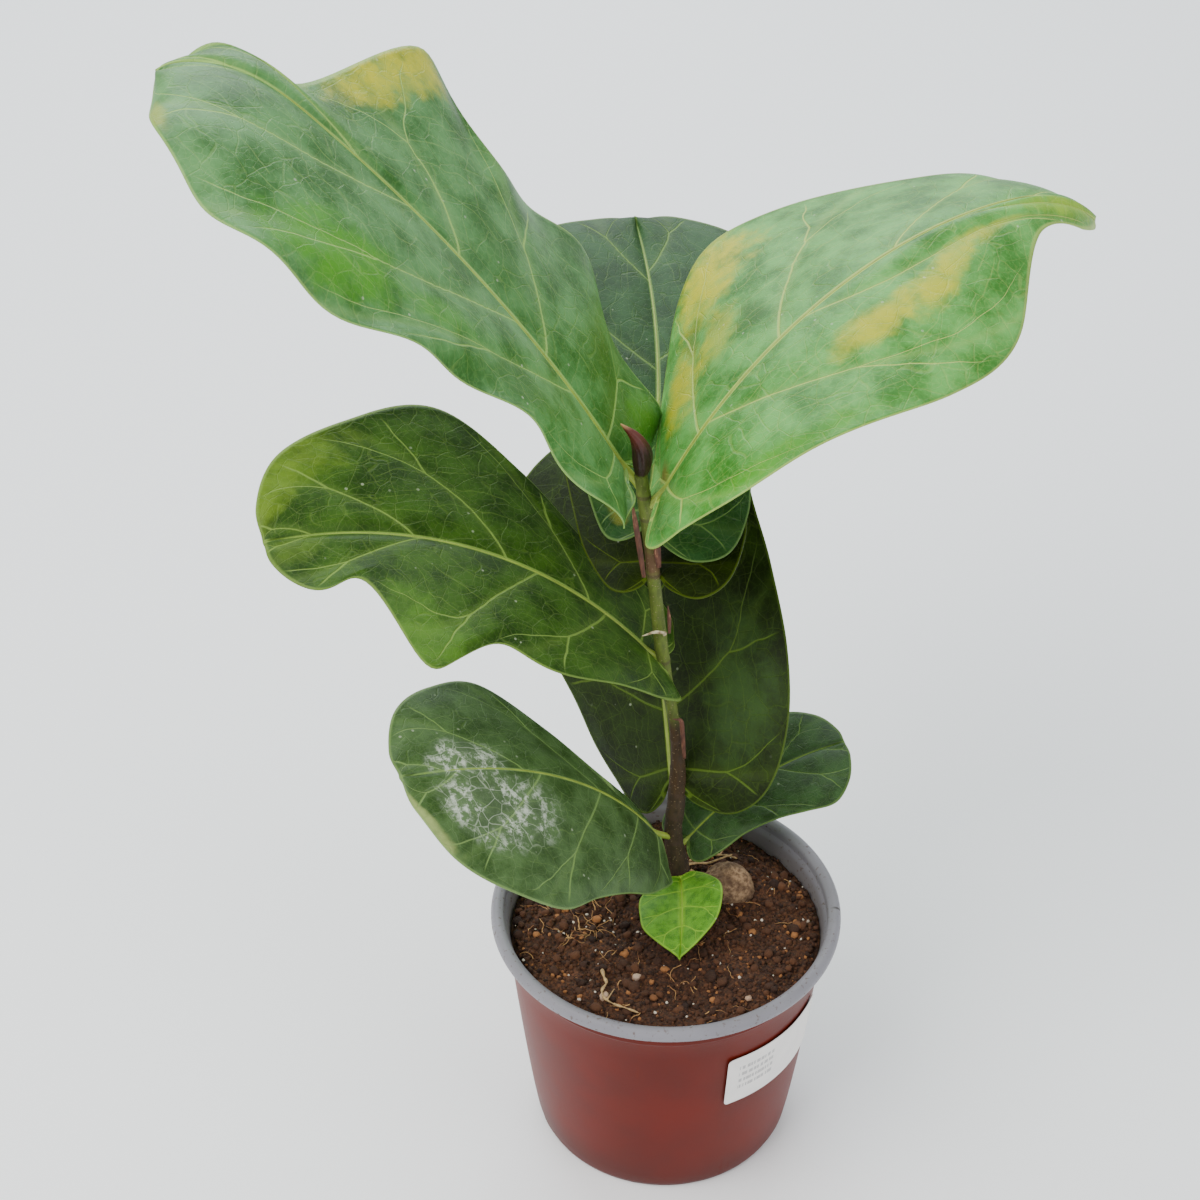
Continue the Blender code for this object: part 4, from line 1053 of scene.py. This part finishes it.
def leaf_finish(name, leaf, look, sizes, under=False):
    """Upper or lower skin: the leaf's own veins from its rib numbers, with the net between them and its marks"""
    f = Finish(f"{name} {'underside' if under else 'skin'}", 0.4, Specular_IOR_Level=look.get("shine", 0.3))
    u, v, _ = f.parts(f.layer("Ribs"))
    side = v * 2 - 1
    t = abs(side)
    flat = f.layer("Flat")
    along, out, _ = f.parts(flat)
    gap = f.attribute("gap")
    edge = f.attribute("edge")
    size = leaf.size

    wander = f.cloud(34 * MM * size, flat, detail=2, out=1)
    wx, wy, _ = f.parts(wander)
    count, _, _ = f.parts(f.layer("Veins"))
    count = count + (wx - 0.5) * t * 0.16
    near = abs((count + 0.5).fract() - 0.5)
    fork = (t - 0.56).over(0) * 0.62
    branch = abs(near - fork)
    thin = sizes.vein * size * (0.5 - t * 0.36)
    side_vein = (branch * gap).fade(thin + 0.45 * MM, thin * 0.7) * t.fade(0.98, 0.86) * count.fade(0.55, 0.6)
    rung = abs((t * 7 + (wy - 0.5) * 1.6 + (count + 0.5).floor() * 0.37).fract() - 0.5)
    rungs = rung.fade(0.030, 0.012) * t.fade(0.1, 0.2) * t.fade(0.9, 0.7)
    rib = sizes.midrib * size * (0.5 - along * (0.40 / leaf.length))
    midrib = abs(out).fade(rib + 0.7 * MM, rib)

    warped = f.shift(flat, wander, 14 * MM * size)
    net_vein = f.cells(15 * MM * size, warped).fade(0.026, 0.008)
    fine_vein = f.cells(4.2 * MM * size, f.shift(flat, f.cloud(6 * MM, flat, out=1), 3 * MM)).fade(0.07, 0.02)
    veins = side_vein.over(midrib)
    glow = (near * gap).fade(7 * MM * size, 0)

    mottle = f.cloud(26 * MM * size, flat, detail=5, rough=0.6)
    speck = f.cloud(2.2 * MM, flat, detail=4, rough=0.7)
    blotch = f.cloud(9 * MM, flat, detail=4, rough=0.6)
    shade = f.mix(mottle.fade(0.34, 0.66), look["deep"], look["fresh"])
    shade = f.mix(speck.fade(0.45, 0.75) * 0.25, shade, [min(c * 1.5, 1) for c in look["fresh"]])
    shade = f.mix(glow * 0.30, shade, [a * 0.6 + b * 0.4 for a, b in zip(look["fresh"], look["vein"])])

    def reach(rib_at, side_at, tall, wide):
        """0 in the middle of a patch, 1 round its edge"""
        return ((u - rib_at) / tall) ** 2 + ((side - side_at) / wide) ** 2

    for *patch, paint, strength in look["marks"]:
        ragged = reach(*patch) + (wy - 0.5) * 1.6 + (blotch - 0.5) * 2.6
        shade = f.mix(ragged.fade(1.5, -0.3) * strength, shade, paint)
    rim = edge.fade(1.1 * MM, 0.4 * MM)
    for amount in (fine_vein * 0.07, net_vein * 0.13, rungs * 0.22, side_vein * 0.74, midrib * 0.85, rim * 0.55):
        shade = f.mix(amount, shade, look["vein"])
    rough = look["gloss"] + mottle * 0.12 + veins * 0.08
    if under:
        shade = f.mix(0.55, shade, sizes.back)
        height = side_vein * 0.35 * MM + net_vein * 0.2 * MM + fine_vein * 0.06 * MM + speck * 0.05 * MM
        return f.done(shade, rough + 0.22, height)
    spots = f.cells(9 * MM, flat, "F1").fade(0.10, 0.05) * f.cloud(30 * MM, flat).fade(0.5, 0.6)
    shade = f.mix(spots * 0.35, shade, tint(206, 214, 186))
    powder = [reach(*patch).fade(1.3, 0.2) for patch in look.get("chalk", ())]
    if powder:
        crust = f.cloud(5 * MM, flat, detail=7, rough=0.75).fade(0.47, 0.60)
        crust = crust * f.cloud(17 * MM, flat, detail=4).fade(0.40, 0.56)
        dust = reduce(Wire.over, powder) * (crust * 0.8 + net_vein * 0.3 + 0.06)
        shade = f.mix(dust.under(0.85), shade, CHALK)
        rough = rough + dust * 0.4
    height = speck * 0.06 * MM - side_vein * 0.22 * MM - net_vein * 0.12 * MM - fine_vein * 0.05 * MM - midrib * 0.15 * MM
    return f.done(shade, rough, height)


class FIG_OT_leaves(Operator):
    """Shapes the nine blades with their stalks and the ribs under them"""
    bl_idname = "fig.leaves"
    bl_label = "Leaves"

    def execute(self, context):
        sizes = context.scene.fig_leaf
        f = Finish("stalk and rib", 0.5)
        tone = f.cloud(7 * MM, detail=4)
        rib_skin = f.done(f.toned(tone.fade(0.3, 0.7), sizes.rib, 0.7), None, tone * 0.3 * MM)
        for name, leaf in LEAVES.items():
            self.blade(name, leaf, sizes)
            self.ribs(name, leaf, rib_skin)
        return {"FINISHED"}

    def blade(self, name, leaf, sizes):
        bm = bmesh.new()
        long, wide = (150, 72) if leaf.length > 0.1 else (90, 44)
        bmesh.ops.create_grid(bm, x_segments=long, y_segments=wide, size=1)
        bmesh.ops.reverse_faces(bm, faces=bm.faces)
        mesh = as_mesh(name, bm)
        spots = np.empty(len(mesh.vertices) * 3)
        mesh.vertices.foreach_get("co", spots)
        q, t = (spots.reshape(-1, 3)[:, 0] + 1) / 2, spots.reshape(-1, 3)[:, 1]
        place, _, along, out = leaf.surface(q, t, leaf.relief(sizes.quilt))
        _, _, _, margin = leaf.surface(q, np.where(t < 0, -1.0, 1.0))
        before, after = np.clip(q - 0.004, 0, 1), np.clip(q + 0.004, 0, 1)
        counts = leaf.counted(after, t >= 0, t) - leaf.counted(before, t >= 0, t)
        run = (leaf.surface(after, t)[0] - leaf.surface(before, t)[0]) / counts[:, None]
        inner, outer = (leaf.surface(q, np.clip(t + step, -1, 1))[0] for step in (-0.01, 0.01))
        out_way = (outer - inner) / (np.linalg.norm(outer - inner, axis=1, keepdims=True) + 1e-9)
        gap = np.linalg.norm(np.cross(run, out_way), axis=1)
        mesh.vertices.foreach_set("co", place.ravel())
        loops = np.empty(len(mesh.loops), int)
        mesh.loops.foreach_get("vertex_index", loops)
        half = np.repeat(t[loops].reshape(-1, 4).mean(1) > 0, 4)
        for layer, pair in (("Ribs", (q[loops], (t[loops] + 1) / 2)),
                            ("Veins", (leaf.counted(q[loops], half, t[loops]), half * 1.0)),
                            ("Flat", (along[loops], out[loops]))):
            mesh.uv_layers.new(name=layer).data.foreach_set("uv", np.stack(pair, -1).ravel())
        for attribute, values in (("gap", gap), ("edge", np.abs(margin) - np.abs(out))):
            mesh.attributes.new(attribute, "FLOAT", "POINT").data.foreach_set("value", values)
        bm = bmesh.new()
        bm.from_mesh(mesh)
        bmesh.ops.remove_doubles(bm, verts=bm.verts, dist=5e-6)
        bmesh.ops.dissolve_degenerate(bm, edges=bm.edges, dist=1e-6)
        bm.to_mesh(mesh)
        bm.free()
        look = LOOKS[name]
        skins = [leaf_finish(name, leaf, look, sizes), leaf_finish(name, leaf, look, sizes, under=True)]
        piece = mesh_piece(name + "_blade", mesh, skins, [name])
        solid = piece.modifiers.new("thickness", "SOLIDIFY")
        solid.thickness, solid.offset, solid.material_offset = sizes.thickness, 0, 1

    def ribs(self, name, leaf, skin):
        thick = 2.1 * MM * (0.55 + 0.45 * leaf.length / 0.275)
        path = [leaf.root + (leaf.base - leaf.root) * 0.12, (leaf.root + leaf.base) / 2]
        radii = [thick, thick * 0.95]
        for x in (0.03, 0.09, 0.16, 0.25, 0.35, 0.46, 0.58, 0.70, 0.82, 0.93):
            centre, _, normal = (part[0] for part in leaf.spine(np.array([x])))
            radius = thick * (1 - 0.93 * x)
            path.append(centre - normal * (radius * 0.72 + 0.5 * MM))
            radii.append(radius)
        shares = np.linspace(0, 1, 70)
        lines = [(through(path, shares), through([(r,) for r in radii], shares)[:, 0].clip(0.15 * MM))]
        relief, steps = leaf.relief(bpy.context.scene.fig_leaf.quilt), 26
        t = np.linspace(0.02, 0.86, steps)
        for half in (0, 1):
            for q in leaf.veins[half]:
                path_q = np.full(steps, q)
                for _ in range(3):
                    path_q = q + leaf.lean(path_q, half) * t
                place, normal, _, _ = leaf.surface(path_q.clip(0, 1), t if half else -t, relief)
                size = thick * 0.40 * (1 - 0.8 * np.linspace(0, 1, steps))
                lines.append((place - normal * (size * 0.4 + 0.28 * MM)[:, None], size))
        strands(name + "_ribs", lines, thick, skin)


# ---- stage ---------------------------------------------------------------------------------------------


class FIG_OT_stage(Operator):
    """Lays the floor, hangs the soft lights and sets the camera"""
    bl_idname = "fig.stage"
    bl_label = "Stage"

    def execute(self, context):
        scene, stage = context.scene, context.scene.fig_stage
        bm = bmesh.new()
        bmesh.ops.create_grid(bm, x_segments=8, y_segments=8, size=4)
        floor = as_object("floor", as_mesh("floor", bm))
        f = Finish("plain floor", 0.7)
        floor.data.materials.append(f.done(f.mix(f.cloud(0.5) * 0.2, stage.floor, [c * 0.97 for c in stage.floor])))
        world = bpy.data.worlds.new("soft room")
        scene.world = world
        world.use_nodes = True
        room = world.node_tree.nodes["Background"]
        room.inputs["Color"].default_value, room.inputs["Strength"].default_value = (0.93, 0.97, 1.0, 1), stage.sky
        aim = Vector((0, 0.03, 0.28))
        for name, power, side, spot, warmth in (("key", stage.key, 1.6, (-1.1, -0.7, 1.7), (1, 0.98, 0.95)),
                                                ("back", stage.back, 2.0, (-0.2, 1.7, 1.7), (0.86, 0.95, 1)),
                                                ("fill", stage.key * 0.25, 1.2, (1.4, -1.0, 0.8), (1, 1, 1))):
            lamp = bpy.data.lights.new(name, "AREA")
            lamp.energy, lamp.size, lamp.color = power, side, warmth
            light = as_object(name, lamp)
            light.location = spot
            light.rotation_euler = (aim - Vector(spot)).to_track_quat("-Z", "Y").to_euler()
        lens = bpy.data.cameras.new("camera")
        lens.lens, lens.sensor_width = 72, 36
        camera = as_object("camera", lens)
        camera.location, camera.rotation_euler = (-0.032, -0.843, 0.954), (radians(53), 0, 0)
        scene.camera = camera
        return {"FINISHED"}


STEPS = (FIG_OT_pot, FIG_OT_label, FIG_OT_soil, FIG_OT_litter, FIG_OT_stem, FIG_OT_bud, FIG_OT_scales, FIG_OT_leaves,
         FIG_OT_stage)


class FIG_PT_panel(Panel):
    """Lists the fig's sizes and the steps that build it"""
    bl_idname = "FIG_PT_panel"
    bl_label = "Fiddle Leaf Fig"
    bl_space_type = "VIEW_3D"
    bl_region_type = "UI"
    bl_category = "Fig"

    def draw(self, context):
        for name, group in SIZES.items():
            box = self.layout.box()
            box.label(text=group.__doc__)
            for size in group.__annotations__:
                box.prop(getattr(context.scene, name), size)
        for step in STEPS:
            self.layout.operator(step.bl_idname)


CLASSES = (*SIZES.values(), *STEPS, FIG_PT_panel)


def register():
    for item in CLASSES:
        bpy.utils.register_class(item)
    for name, group in SIZES.items():
        setattr(bpy.types.Scene, name, PointerProperty(type=group))


def unregister():
    for name in SIZES:
        delattr(bpy.types.Scene, name)
    for item in reversed(CLASSES):
        bpy.utils.unregister_class(item)


def main():
    register()
    for step in STEPS:
        group, name = step.bl_idname.split(".")
        getattr(getattr(bpy.ops, group), name)()


if __name__ == "__main__":
    main()
